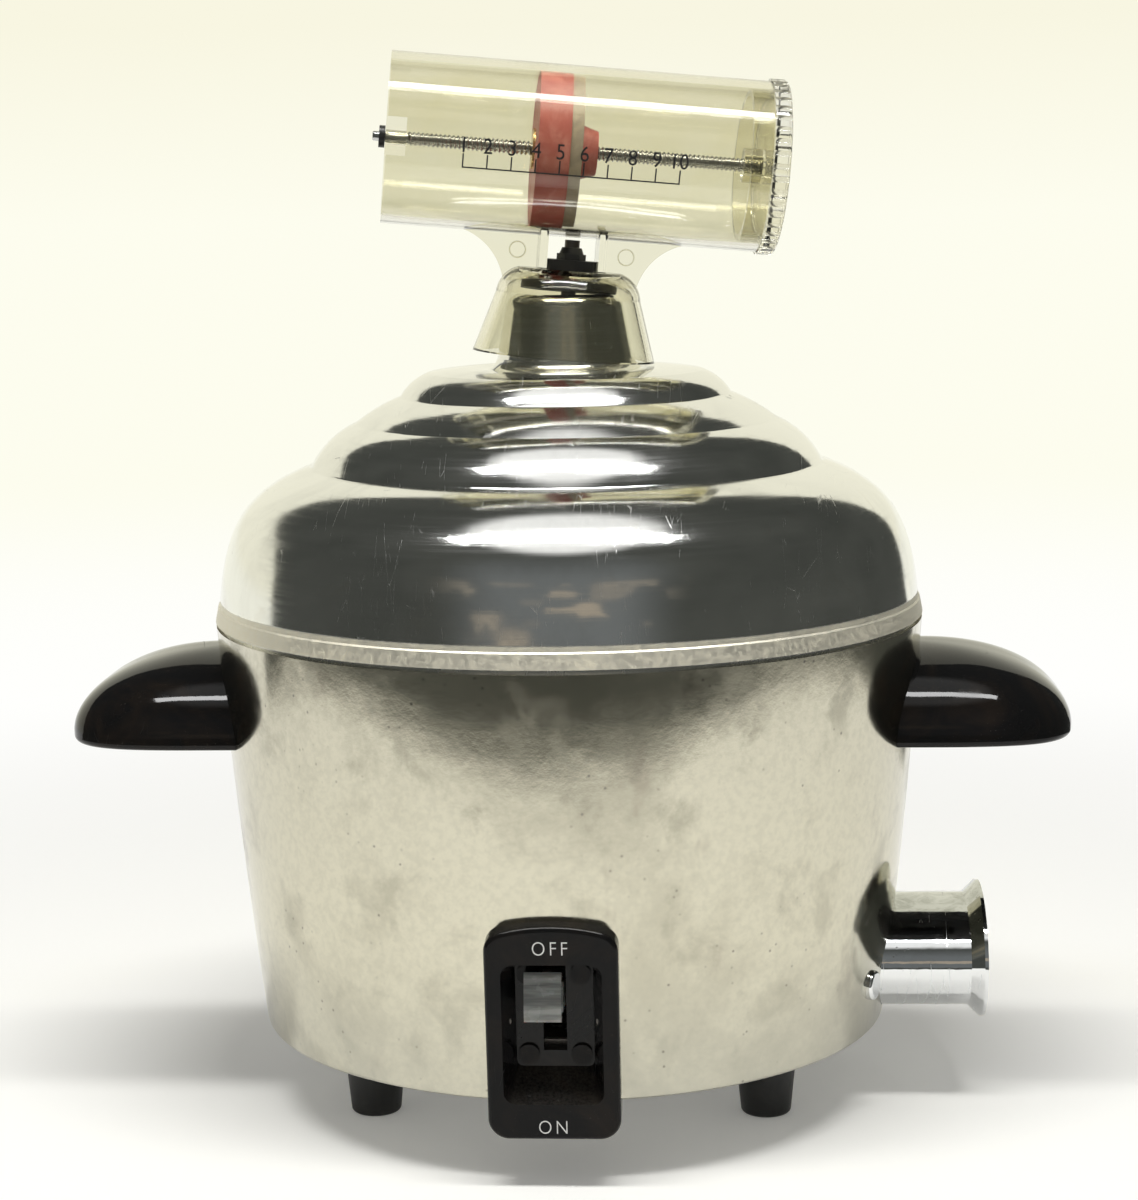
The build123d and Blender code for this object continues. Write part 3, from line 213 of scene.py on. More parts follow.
class Wiring:
    """A node tree being wired up. Each method adds a node and gives back the socket it comes out of."""

    def __init__(self, tree):
        self.tree = tree

    def add(self, kind, out=0, inputs=None, **settings):
        node = self.tree.nodes.new(kind)
        for name, value in settings.items():
            setattr(node, name, value)
        for socket, value in (inputs or {}).items():
            self.join(value, node.inputs[socket])
        return node.outputs[out]

    def join(self, value, socket):
        if isinstance(value, bpy.types.NodeSocket):
            self.tree.links.new(value, socket)
        else:
            socket.default_value = value

    def math(self, kind, a, b=0.0):
        return self.add("ShaderNodeMath", 0, {0: a, 1: b}, operation=kind)

    def plus(self, a, b):
        return self.math("ADD", a, b)

    def times(self, a, b):
        return self.math("MULTIPLY", a, b)

    def most(self, a, b):
        return self.math("MAXIMUM", a, b)

    def axis(self, name, vector):
        return self.add("ShaderNodeSeparateXYZ", name, {0: vector})

    def reach(self, vector):
        """The vector's length."""
        return self.add("ShaderNodeVectorMath", "Value", {0: vector}, operation="LENGTH")

    def between(self, value, low, high, start=0.0, end=1.0, shape="SMOOTHSTEP"):
        """Runs from start to end as value goes from low to high, smoothly unless shape says otherwise."""
        inputs = {0: value, 1: low, 2: high, 3: start, 4: end}
        return self.add("ShaderNodeMapRange", 0, inputs, interpolation_type=shape)

    def blend(self, share, a, b):
        return self.add("ShaderNodeMix", 2, {0: share, 6: rgba(a), 7: rgba(b)}, data_type="RGBA")


class Finish(Wiring):
    """One material, from its Principled shader's constants on."""

    def __init__(self, name, **constants):
        self.material = bpy.data.materials.new(name)
        self.material.use_nodes = True
        super().__init__(self.material.node_tree)
        self.shader = next(n for n in self.tree.nodes if n.type == "BSDF_PRINCIPLED")
        self.output = next(n for n in self.tree.nodes if n.type == "OUTPUT_MATERIAL")
        for socket, value in constants.items():
            self.set(socket.replace("_", " "), value)
        self.place = self.add("ShaderNodeTexCoord", "Object")
        self.normal = None

    def set(self, socket, value):
        self.join(rgba(value), self.shader.inputs[socket])

    def laid(self, scale=(1, 1, 1), turn=(0, 0, 0), shift=(0, 0, 0)):
        turn = tuple(radians(a) for a in turn)
        return self.add("ShaderNodeMapping", 0, {0: self.place, 1: shift, 2: turn, 3: scale})

    def noise(self, scale, detail=4.0, rough=0.5, at=None, swirl=0.0):
        inputs = {"Vector": at or self.place, "Scale": scale, "Detail": detail}
        return self.add("ShaderNodeTexNoise", 0, {**inputs, "Roughness": rough, "Distortion": swirl})

    def cells(self, scale, kind="F1", at=None):
        inputs = {"Vector": at or self.place, "Scale": scale}
        return self.add("ShaderNodeTexVoronoi", "Distance", inputs, feature=kind)

    def relief(self, height, distance):
        inputs = {"Height": height, "Distance": distance, "Strength": 1.0}
        if self.normal:
            inputs["Normal"] = self.normal
        self.normal = self.add("ShaderNodeBump", 0, inputs)
        self.join(self.normal, self.shader.inputs["Normal"])

    def lathe(self):
        """Radius and height of a point, for marks that run round the upright axis."""
        level = {0: self.place, 1: (1.0, 1.0, 0.0)}
        radius = self.reach(self.add("ShaderNodeVectorMath", 0, level, operation="MULTIPLY"))
        height = self.axis("Z", self.place)
        wander = self.times(self.noise(30.0, 1.0), 0.0012)
        return self.add("ShaderNodeCombineXYZ", 0, {0: self.plus(radius, wander), 1: height, 2: wander})

    def scratches(self, scale, turn, width, keep):
        """Fine straight marks: the edges of long thin cells, kept only in patches."""
        edge = self.cells(1.0, "DISTANCE_TO_EDGE", self.laid((scale, scale * 0.07, scale * 0.11), turn))
        line = self.between(edge, 0.0, width, 1.0, 0.0)
        patch = self.between(self.noise(scale * 0.25, 3.0, 0.6, self.laid(turn=turn)), keep, keep + 0.06)
        return self.times(line, patch)

    def in_reflections_only(self):
        """Makes the surface clear to a ray that nothing has mirrored, so that clear plastic doesn't
        show it."""
        mirrored = self.math("MINIMUM", self.add("ShaderNodeLightPath", "Glossy Depth"), 1.0)
        clear = self.add("ShaderNodeBsdfTransparent")
        mixed = self.add("ShaderNodeMixShader", 0, {0: mirrored, 1: clear, 2: self.shader.outputs[0]})
        self.join(mixed, self.output.inputs["Surface"])
        return self.material


def shades(colour_in, factor):
    return tuple(min(1.0, c * factor) for c in colour_in)


def polished_aluminium(colours):
    """Spun and polished: lathe lines, fine scratches in patches, handling marks, a slight waviness and a
    matt, warmer band round the rim."""
    f = Finish("polished_aluminium", Metallic=1.0)
    smear = f.noise(26.0, 5.0, 0.62, swirl=0.6)
    clouds = f.between(smear, 0.40, 0.72)
    warm = f.between(f.noise(44.0, 5.0, 0.66, swirl=1.0), 0.56, 0.76)
    lines = f.noise(1500.0, 2.0, 0.7, f.lathe())
    marks = f.scratches(260.0, (12, 35, 20), 0.010, 0.57)
    marks = f.most(marks, f.scratches(340.0, (65, -20, 70), 0.010, 0.58))
    marks = f.most(marks, f.scratches(430.0, (-30, 50, 130), 0.012, 0.60))
    dents = f.between(f.cells(210.0), 0.0, 0.07, 1.0, 0.0)
    dents = f.times(dents, f.between(f.noise(60.0, 3.0), 0.55, 0.65))
    tone = f.blend(clouds, shades(colours.aluminium, 1.04), shades(colours.aluminium, 0.90))
    tone = f.blend(f.times(warm, 0.28), tone, (0.56, 0.51, 0.42))
    band = f.between(f.axis("Z", f.place), *LID_BAND, 1.0, 0.0)
    tone = f.blend(band, tone, (0.97, 0.93, 0.80))
    f.set("Base Color", f.blend(f.times(dents, 0.6), tone, (0.34, 0.33, 0.31)))
    rough = f.between(clouds, 0.0, 1.0, 0.085, 0.15)
    rough = f.plus(rough, f.times(warm, 0.05))
    rough = f.plus(rough, f.times(f.between(lines, 0.4, 0.7), 0.045))
    rough = f.plus(rough, f.times(band, f.between(f.noise(700.0, 3.0), 0.3, 0.7, 0.42, 0.60)))
    f.set("Roughness", f.plus(rough, f.times(marks, 0.22)))
    f.relief(f.noise(38.0, 1.0), 0.00010)
    f.relief(lines, 0.000004)
    return f.material


def worn_aluminium(colours):
    """The body: an old polish gone cloudy, with warm grey patches, stains, specks and rubbed streaks, and
    its tone darker towards the bottom."""
    f = Finish("worn_aluminium", Metallic=1.0)
    broad = f.noise(17.0, 6.0, 0.68, swirl=0.25)
    cloud = f.between(broad, 0.47, 0.66)
    blot = f.between(f.noise(62.0, 5.0, 0.6, swirl=0.3), 0.51, 0.70)
    runs = f.between(f.noise(55.0, 4.0, 0.6, f.laid((1, 1, 0.22))), 0.56, 0.78)
    fine = f.noise(520.0, 3.0, 0.65)
    speck = f.between(f.cells(300.0), 0.04, 0.15, 1.0, 0.0)
    speck = f.times(speck, f.between(f.noise(33.0, 4.0, 0.6), 0.45, 0.60))
    stain = f.between(f.noise(24.0, 5.0, 0.7, f.laid((1, 1, 0.6), (0, 0, 40))), 0.60, 0.72)
    tone = f.blend(f.times(cloud, 0.52), (0.65, 0.62, 0.50), colours.patina)
    tone = f.blend(f.times(blot, 0.46), tone, (0.37, 0.35, 0.275))
    tone = f.blend(f.times(runs, 0.20), tone, (0.42, 0.40, 0.33))
    tone = f.blend(f.times(f.between(fine, 0.38, 0.66), 0.23), tone, (0.44, 0.42, 0.34))
    tone = f.blend(f.times(stain, 0.50), tone, (0.30, 0.26, 0.21))
    # Darker towards the bottom: the tone is darkened below BODY_FOOT's heights.
    foot = f.between(f.axis("Z", f.place), *BODY_FOOT, 1.0, 0.0)
    tone = f.blend(f.times(foot, f.between(broad, 0.3, 0.6, 0.22, 0.62)), tone, (0.40, 0.395, 0.35))
    f.set("Base Color", f.blend(f.times(speck, 0.75), tone, (0.20, 0.18, 0.16)))
    rough = f.between(broad, 0.35, 0.70, 0.085, 0.135)
    rough = f.plus(rough, f.times(blot, 0.08))
    f.set("Roughness", f.plus(rough, f.times(fine, 0.03)))
    f.relief(f.noise(45.0, 2.0), 0.00014)
    f.relief(fine, 0.000012)
    return f.material


def satin_aluminium(colours):
    """The pan and the tray: turned aluminium dulled by water, with pale rings of scale."""
    f = Finish("satin_aluminium", Metallic=1.0)
    lines = f.noise(900.0, 2.0, 0.7, f.lathe())
    scale = f.between(f.noise(48.0, 6.0, 0.65, swirl=1.0), 0.50, 0.72)
    f.set("Base Color", f.blend(f.times(scale, 0.5), shades(colours.aluminium, 0.95), (0.58, 0.56, 0.51)))
    f.set("Roughness", f.between(scale, 0.0, 1.0, 0.26, 0.46))
    f.relief(lines, 0.00001)
    return f.material


def plated(name, tone, rough, scale=260.0, tarnish=(0.34, 0.31, 0.27), share=0.4):
    """A plated or bare metal: fine grain with tarnish that gathers in patches."""
    f = Finish(name, Metallic=1.0)
    patch = f.between(f.noise(scale, 5.0, 0.65, swirl=0.5), 0.50, 0.74)
    f.set("Base Color", f.blend(f.times(patch, share), tuple(tone), tarnish))
    f.set("Roughness", f.between(patch, 0.0, 1.0, rough, rough + 0.2))
    f.relief(f.noise(scale * 8, 3.0, 0.6), 0.000006)
    return f.material


def bright_chrome():
    """Bright plate with smears, fine scratches, a top darkened in patches and black pitting that crowds
    near the mouth's top."""
    f = Finish("bright_chrome", Metallic=1.0)
    smear = f.between(f.noise(70.0, 5.0, 0.6, swirl=0.8), 0.45, 0.75)
    marks = f.scratches(260.0, (40, 10, 15), 0.02, 0.53)
    pits = f.between(f.cells(900.0), 0.10, 0.30, 1.0, 0.0)
    crowd = f.between(f.noise(120.0, 4.0, 0.7), 0.58, 0.66)
    top = f.between(f.axis("Z", f.place), *GUARD_TOP)
    mouth = f.times(f.between(f.axis("X", f.place), *GUARD_MOUTH), top)
    mouth = f.times(mouth, f.between(f.noise(260.0, 4.0, 0.7), 0.40, 0.52))
    pits = f.times(pits, f.most(crowd, mouth))
    tone = f.blend(f.times(smear, 0.35), (0.80, 0.81, 0.82), (0.62, 0.62, 0.61))
    # The top, above GUARD_TOP's heights, is darkened in patches.
    top_darkening = f.between(f.noise(170.0, 5.0, 0.65, swirl=0.6), 0.35, 0.70, 0.45, 0.95)
    tone = f.blend(f.times(top, top_darkening), tone, (0.36, 0.37, 0.345))
    f.set("Base Color", f.blend(f.times(pits, 0.85), tone, (0.10, 0.08, 0.07)))
    rough = f.between(smear, 0.0, 1.0, 0.035, 0.11)
    f.set("Roughness", f.plus(rough, f.times(f.most(marks, pits), 0.4)))
    f.relief(f.noise(60.0, 1.0), 0.00005)
    f.relief(pits, -0.00002)
    return f.material


def black_phenolic(name, colours, shine, smooth, ledges=0.0):
    """Moulded phenolic: deep black with a faint brown cast, a rippled gloss, hairlines and dust, of which
    ledges is the share that has settled on level faces."""
    f = Finish(name, Specular_IOR_Level=shine)
    swirl = f.noise(42.0, 4.0, 0.6, swirl=2.0)
    dust = f.between(f.noise(1400.0, 2.0, 0.6), 0.66, 0.74)
    dust = f.times(dust, f.between(f.noise(90.0, 3.0), 0.45, 0.70))
    tone = f.blend(f.between(swirl, 0.4, 0.75), tuple(colours.phenolic), (0.013, 0.010, 0.008))
    tone = f.blend(f.times(dust, 0.35), tone, (0.10, 0.092, 0.08))
    level = f.axis("Z", f.add("ShaderNodeNewGeometry", "Normal"))
    settled = f.times(f.between(level, 0.45, 0.85), f.between(f.noise(1500.0, 4.0, 0.7), 0.30, 0.66))
    f.set("Base Color", f.blend(f.times(settled, ledges), tone, (0.075, 0.068, 0.055)))
    wear = f.between(f.noise(95.0, 5.0, 0.62, swirl=0.8), 0.48, 0.76)
    marks = f.scratches(300.0, (25, 15, 50), 0.010, 0.56)
    rough = f.between(wear, 0.0, 1.0, smooth, smooth + 0.09)
    f.set("Roughness", f.plus(rough, f.times(f.most(dust, marks), 0.3)))
    f.relief(f.noise(110.0, 2.0), 0.00004)
    return f.material


def dull_black(name, tone, rough, grain):
    """Rubber or nylon: a dusty, slightly mottled black with a fine moulded grain."""
    f = Finish(name, Specular_IOR_Level=0.36)
    dust = f.between(f.noise(75.0, 5.0, 0.65, swirl=0.5), 0.48, 0.75)
    f.set("Base Color", f.blend(f.times(dust, 0.35), tuple(tone), (0.060, 0.057, 0.050)))
    f.set("Roughness", f.between(dust, 0.0, 1.0, rough, min(0.95, rough + 0.25)))
    f.relief(f.noise(grain, 3.0, 0.6), 0.00002)
    return f.material


def clear_plastic(colours):
    """Old clear moulding with a straw tint, rubbed patches and hairlines. Lamps shine through it."""
    f = Finish("clear_plastic", Transmission_Weight=1.0, IOR=1.44)
    age = f.between(f.noise(32.0, 4.0, 0.6, swirl=1.0), 0.42, 0.70)
    f.set("Base Color", f.blend(age, tuple(colours.clear), (0.85, 0.83, 0.70)))
    marks = f.scratches(260.0, (10, 20, 5), 0.010, 0.55)
    marks = f.most(marks, f.scratches(340.0, (70, -10, 60), 0.010, 0.57))
    rough = f.between(f.noise(60.0, 5.0, 0.62), 0.46, 0.74, 0.012, 0.07)
    f.set("Roughness", f.plus(rough, f.times(marks, 0.18)))
    f.relief(f.noise(70.0, 2.0), 0.00004)
    shadow = f.add("ShaderNodeLightPath", "Is Shadow Ray")
    through = f.add("ShaderNodeBsdfTransparent", 0, {0: (0.90, 0.885, 0.81, 1.0)})
    mixed = f.add("ShaderNodeMixShader", 0, {0: shadow, 1: f.shader.outputs[0], 2: through})
    f.join(mixed, f.output.inputs["Surface"])
    return f.material


def red_rubber(colours):
    """Old red rubber with a pale bloom and darker wet marks."""
    f = Finish("red_rubber", IOR=1.5)
    bloom = f.between(f.noise(130.0, 5.0, 0.62, swirl=0.7), 0.42, 0.72)
    f.set("Base Color", f.blend(f.times(bloom, 0.6), tuple(colours.piston), (0.52, 0.22, 0.20)))
    f.set("Roughness", f.between(bloom, 0.0, 1.0, 0.42, 0.72))
    f.relief(f.noise(900.0, 3.0, 0.6), 0.00002)
    return f.material


def moulded(name, tone, other, rough, scale):
    """A plain moulding or sheet: two close tones in clouds, with a fine grain."""
    f = Finish(name, IOR=1.5)
    cloud = f.between(f.noise(scale, 5.0, 0.62, swirl=0.6), 0.38, 0.70)
    f.set("Base Color", f.blend(cloud, tuple(tone), other))
    f.set("Roughness", f.between(cloud, 0.0, 1.0, rough, rough + 0.18))
    f.relief(f.noise(scale * 9, 3.0, 0.6), 0.000012)
    return f.material


def lever_grey(colours):
    """The lever's tab: translucent grey with level streaks, paler here and there."""
    f = Finish("lever_grey", IOR=1.5, Subsurface_Weight=0.25, Subsurface_Scale=0.002)
    streak = f.noise(420.0, 3.0, 0.6, f.laid((0.10, 0.3, 1.0)))
    tone = f.blend(f.between(streak, 0.38, 0.66), shades(colours.lever, 0.6), shades(colours.lever, 1.45))
    f.set("Base Color", tone)
    f.set("Roughness", f.between(f.noise(300.0, 3.0), 0.4, 0.7, 0.16, 0.34))
    f.relief(streak, 0.00002)
    return f.material


def cotton_sleeve():
    """A braided sleeve: two sets of slanting threads."""
    f = Finish("cotton_sleeve", IOR=1.45)
    sets = []
    for slant in ((0, 35, 45), (0, -35, -45)):
        inputs = {"Vector": f.laid(turn=slant), "Scale": 420.0, "Distortion": 0.6}
        sets.append(f.add("ShaderNodeTexWave", "Fac", inputs))
    braid = f.most(*sets)
    f.set("Base Color", f.blend(braid, (0.10, 0.085, 0.06), (0.46, 0.40, 0.30)))
    f.set("Roughness", f.between(f.noise(500.0), 0.3, 0.7, 0.72, 0.92))
    f.relief(braid, 0.00010)
    return f.material


def printed(name, tone, worn, rough):
    """Ink or paint, thin in places."""
    f = Finish(name, IOR=1.5)
    thin = f.between(f.noise(1300.0, 4.0, 0.65), 0.52, 0.72)
    f.set("Base Color", f.blend(f.times(thin, 0.5), tuple(tone), worn))
    f.set("Roughness", f.between(thin, 0.0, 1.0, rough, rough + 0.25))
    f.relief(f.noise(2500.0, 2.0), 0.000008)
    return f.material


def makers():
    """What makes each finish: those of the record's slots, of the few nodes that look unlike the rest of
    their slot, and of the printed marks."""
    colours = bpy.context.scene.cooker_colours
    steel, rust, soot = colours.steel, (0.06, 0.045, 0.035), (0.16, 0.10, 0.07)
    cream, buff = (0.85, 0.83, 0.78), (0.72, 0.68, 0.60)
    return {
        "lid_aluminium": lambda: polished_aluminium(colours),
        "body_aluminium": lambda: worn_aluminium(colours),
        "pan_aluminium": lambda: satin_aluminium(colours),
        "plated_steel": lambda: plated("plated_steel", steel, 0.24),
        "dark_steel": lambda: plated("dark_steel", (0.13, 0.12, 0.11), 0.30, 300.0, rust, 0.6),
        "element_steel": lambda: plated("heated_steel", (0.27, 0.25, 0.24), 0.42, 120.0, soot, 0.7),
        "chrome": bright_chrome,
        "nickel": lambda: plated("nickel_plate", (0.70, 0.67, 0.62), 0.16, 300.0, (0.42, 0.36, 0.28), 0.45),
        "brass": lambda: plated("bare_brass", (0.70, 0.52, 0.26), 0.26, 260.0, (0.30, 0.20, 0.10), 0.5),
        "mica": lambda: moulded("mica_sheet", (0.60, 0.55, 0.45), (0.40, 0.35, 0.27), 0.30, 90.0),
        "ceramic": lambda: moulded("ceramic_block", cream, buff, 0.62, 220.0),
        "black_phenolic": lambda: black_phenolic("black_phenolic", colours, 0.22, 0.05),
        "dull_phenolic": lambda: black_phenolic("dull_phenolic", colours, 0.14, 0.07, 0.25),
        "satin_phenolic": lambda: black_phenolic("satin_phenolic", colours, 0.22, 0.12, 0.25),
        "black_rubber": lambda: dull_black("black_rubber", colours.rubber, 0.44, 1500.0),
        "black_nylon": lambda: dull_black("black_nylon", (0.020, 0.020, 0.0205), 0.34, 2200.0),
        "lever_plastic": lambda: lever_grey(colours),
        "clear_plastic": lambda: clear_plastic(colours),
        "red_rubber": lambda: red_rubber(colours),
        "brown_plastic": lambda: moulded("brown_plastic", colours.backing, (0.24, 0.20, 0.17), 0.40, 150.0),
        "wire_sleeve": cotton_sleeve,
        "scale_ink": lambda: printed("scale_ink", colours.ink, (0.07, 0.07, 0.07), 0.45),
        "switch_paint": lambda: printed("switch_paint", colours.paint, (0.34, 0.34, 0.33), 0.40),
    }


# The finishes made so far, and the nodes that look unlike the rest of their slot
FINISHES = {}
UNLIKE_THEIR_SLOT = {
    "switch_plate": "dull_phenolic",
    "switch_base": "satin_phenolic",
    "switch_rivets": "dull_phenolic",
    "switch_screws": "dark_steel",
    "knob_bolt": "dark_steel",
    "lever_bracket": "dark_steel",
    "lever_pin": "dark_steel",
}


def finish_of(name):
    """The material of a finish, made the first time it is asked for."""
    if name not in FINISHES:
        known = makers()
        if name not in known:
            raise ValueError(f"no finish is written for {name}")
        FINISHES[name] = known[name]()
    return FINISHES[name]


def dress(*slots):
    """Gives each carried-over node of these slots its finish."""
    for node, slot in SLOTS.items():
        if slot in slots:
            piece, slot = NODES[node], UNLIKE_THEIR_SLOT.get(node, slot)
            if not piece.material_slots:
                piece.data.materials.append(None)
            for place in piece.material_slots:
                place.material = finish_of(slot)


# Operators, one for each piece or group of like pieces
class EGGCOOKER_OT_dress_aluminium(bpy.types.Operator):
    """Finish the lid, the body, the water pan and the egg tray"""

    bl_idname = "egg_cooker.dress_aluminium"
    bl_label = "Aluminium"

    def execute(self, context):
        dress("lid_aluminium", "body_aluminium", "pan_aluminium")
        return {"FINISHED"}


class EGGCOOKER_OT_dress_hardware(bpy.types.Operator):
    """Finish the plug guard, the rivets, the screws, the nuts and the terminals"""

    bl_idname = "egg_cooker.dress_hardware"
    bl_label = "Hardware"

    def execute(self, context):
        dress("plated_steel", "element_steel", "chrome", "nickel", "brass")
        return {"FINISHED"}


class EGGCOOKER_OT_dress_blacks(bpy.types.Operator):
    """Finish the handles, the switch plate, the feet and the gasket"""

    bl_idname = "egg_cooker.dress_blacks"
    bl_label = "Black mouldings"

    def execute(self, context):
        dress("black_phenolic", "black_rubber", "black_nylon")
        return {"FINISHED"}


class EGGCOOKER_OT_dress_measure(bpy.types.Operator):
    """Finish the clear measure, its cap and its piston"""

    bl_idname = "egg_cooker.dress_measure"
    bl_label = "Water measure"

    def execute(self, context):
        dress("clear_plastic", "red_rubber", "brown_plastic")
        return {"FINISHED"}


class EGGCOOKER_OT_dress_works(bpy.types.Operator):
    """Finish the lever and what is inside the base"""

    bl_idname = "egg_cooker.dress_works"
    bl_label = "Lever and works"

    def execute(self, context):
        dress("lever_plastic", "mica", "ceramic", "wire_sleeve")
        return {"FINISHED"}


class EGGCOOKER_OT_threaded_rod(bpy.types.Operator):
    """Cut the thread of the measure's rod"""

    bl_idname = "egg_cooker.threaded_rod"
    bl_label = "Threaded rod"

    def execute(self, context):
        """Radius = crest - depth * (1 - v), where v is a blunt V wave of (distance / pitch - turn), so the
        ridge climbs one pitch in a turn. The spigot and the closed ends have no wave."""
        sizes = context.scene.cooker_sizes
        start, end, spigot_end = -43.1 * MM, 46.0 * MM, -51.8 * MM
        chamfer, sides, rings_per_turn = 0.25 * MM, 28, 10
        steep, blunt = 1.6, 0.3
        along = np.linspace(start, end, int((end - start) / sizes.thread_pitch * rings_per_turn))
        turn = np.linspace(0, 2 * np.pi, sides, endpoint=False)
        phase = (along[:, None] / sizes.thread_pitch - turn / (2 * np.pi)) % 1.0
        wave = np.clip(steep * np.abs(2 * phase - 1) - blunt, 0, 1)
        thread = sizes.thread_crest - sizes.thread_depth * (1 - wave)
        plain = np.full(sides, sizes.spigot)
        radius = np.array([0 * plain, plain * 0.8, plain, plain, *thread, 0 * plain])
        stations = np.array([spigot_end, spigot_end, spigot_end + chamfer, start, *along, end])
        place = np.broadcast_to(stations[:, None], radius.shape)
        points = on_measure(place, radius * np.cos(turn), radius * np.sin(turn)).reshape(-1, 3)
        faces, finish = grid_faces(len(radius), sides, closed=True), finish_of("plated_steel")
        rod = mesh_piece("rod_thread", points, faces, "adjuster", "plated_steel", finish, 50)
        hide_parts("adjust_screw")
        return {"FINISHED"}


class EGGCOOKER_OT_measure_scale(bpy.types.Operator):
    """Print the measure's scale: its line, ticks and figures"""

    bl_idname = "egg_cooker.measure_scale"
    bl_label = "Measure scale"

    def execute(self, context):
        """Each mark is a rectangle or a word in (along, around), laid on the tube's outside."""
        sizes = context.scene.cooker_sizes
        base, half, proud, gap = -6.25 * MM, sizes.line / 2, 0.03 * MM, 0.45 * MM
        marks, rows, columns, narrow = 10, 8, 12, 0.92
        places = [sizes.scale_start + i * sizes.scale_step for i in range(marks)]
        boxes = [(places[0] - half, places[-1] + half, base - half, base + half)]
        boxes += [(x - half, x + half, base + half, base + half + sizes.tick) for x in places]
        quads = grid_faces(rows, columns)
        triangles = np.concatenate([quads[:, [0, 1, 2]], quads[:, [0, 2, 3]]])
        parts = []
        for x0, x1, y0, y1 in boxes:
            along, around = np.meshgrid(np.linspace(x0, x1, columns), np.linspace(y0, y1, rows))
            parts.append((on_tube(along, around, proud).reshape(-1, 3), triangles))
        for figure, x in enumerate(places, 1):
            flat, faces = letters(str(figure), sizes.digit)
            along, around = flat[:, 0] * narrow + x, flat[:, 1] + base + sizes.tick + gap
            parts.append((on_tube(along, around, proud), faces))
        mesh_piece("measure_scale", *joined(parts), "lid", "clear_plastic", finish_of("scale_ink"))
        return {"FINISHED"}


class EGGCOOKER_OT_switch_words(bpy.types.Operator):
    """Paint OFF and ON on the switch plate"""

    bl_idname = "egg_cooker.switch_words"
    bl_label = "Switch words"

    def execute(self, context):
        """Flat words in the plate's own plane: across is level, and up leans back with the body's wall."""
        sizes = context.scene.cooker_sizes
        lean, yaw, proud = radians(6.414), radians(-0.4), 0.03 * MM
        thin, spacing, narrow = 0.014, 1.32, 0.83
        across = np.array([cos(yaw), sin(yaw), 0.0])
        outward = np.array([sin(yaw) * cos(lean), -cos(yaw) * cos(lean), -sin(lean)])
        up = np.cross(outward, across)
        centre = np.array([-0.602, -86.238, 39.2]) * MM
        parts = []
        for word, x, y in (("OFF", -0.14 * MM, 18.75 * MM), ("ON", -0.33 * MM, -25.75 * MM)):
            flat, faces = letters(word, sizes.letter, thin, spacing)
            flat = flat * (narrow, 1.0) + (x, y)
            parts.append((centre + flat[:, :1] * across + flat[:, 1:] * up + proud * outward, faces))
        mesh_piece("switch_words", *joined(parts), "base", "black_phenolic", finish_of("switch_paint"))
        return {"FINISHED"}


class EGGCOOKER_OT_moulding_rings(bpy.types.Operator):
    """Add the round moulding marks on the measure's web"""

    bl_idname = "egg_cooker.moulding_rings"
    bl_label = "Moulding rings"

    def execute(self, context):
        """Each mark is a ring: a circle with a small round section, half sunk in the web."""
        ring_r, wire, apart = 2.0 * MM, 0.16 * MM, 13.7 * MM
        back_face, below_axis = -1.1 * MM, 25.209 * MM
        ring = np.linspace(0, 2 * np.pi, 40, endpoint=False)
        section = np.linspace(0, 2 * np.pi, 8, endpoint=False)
        around, across = np.meshgrid(ring, section, indexing="ij")
        r, back = ring_r + wire * np.cos(across), back_face + wire * np.sin(across)
        faces = grid_faces(len(ring), len(section), closed=True, looped=True)
        parts = []
        for side in (-1, 1):
            points = on_measure(side * apart + r * np.cos(around), back, r * np.sin(around) - below_axis)
            parts.append((points.reshape(-1, 3), faces))
        mesh_piece("moulding_rings", *joined(parts), "lid", "clear_plastic", finish_of("clear_plastic"))
        return {"FINISHED"}


# The stage: half the width and depth of the lamp's pool of light on the table, and how far off the room is
POOL = (0.46, 0.325)
ROOM_R = 1.9


def stage_piece(name, points, material, closed=False, seen_by_camera=True):
    """A stage surface through a grid of points, whose last column joins the first if it is closed. One that
    the camera doesn't see is a card that only shows in reflections."""
    faces = grid_faces(*points.shape[:2], closed)
    piece = mesh_piece(name, points.reshape(-1, 3), faces, None, None, material)
    if not seen_by_camera:
        piece.visible_camera = piece.visible_diffuse = piece.visible_shadow = False
        piece.visible_volume_scatter = False


def glowing(name):
    """A finish that only gives off its own light."""
    black = (0.0, 0.0, 0.0)
    return Finish(name, Base_Color=black, Specular_IOR_Level=0.0, Roughness=1.0, Emission_Strength=1.0)


def unlit_room():
    """The dim side of a studio as polished metal shows it: paler in the middle, with a few boxes on
    shelves, and a bright oval round the lamp overhead."""
    f = glowing("unlit_room")
    x, y, z = (f.axis(name, f.place) for name in "XYZ")
    middle = f.times(f.between(f.math("ABSOLUTE", x), 0.5, 1.25, 1.0, 0.0), f.between(y, -0.9, -1.3))
    middle = f.times(middle, f.between(z, 1.0, 1.7, 1.0, 0.15))
    grid = {0: f.laid((2.9, 2.9, 5.2)), 2: 1.0}
    shelves = f.add("ShaderNodeTexVoronoi", "Color", grid, distance="CHEBYCHEV")
    shelves = f.add("ShaderNodeSeparateColor", 0, {0: shelves})
    boxes = f.times(f.between(shelves, 0.55, 0.75), f.times(middle, f.between(z, 0.95, 1.05, 1.0, 0.0)))
    tone = f.blend(f.noise(1.6, 2.0), (0.040, 0.043, 0.038), (0.085, 0.088, 0.078))
    tone = f.blend(middle, tone, (0.155, 0.165, 0.165))
    tone = f.blend(boxes, tone, (0.38, 0.33, 0.26))
    oval = f.reach(f.laid((1.35, 1.1, 0.0), shift=(0.0, 0.33, 0.0)))
    over = f.times(f.between(z, 1.25, 1.4), f.between(oval, 0.72, 1.0, 1.0, 0.0))
    f.set("Emission Color", f.blend(over, tone, (1.0, 1.0, 0.98)))
    return f.in_reflections_only()


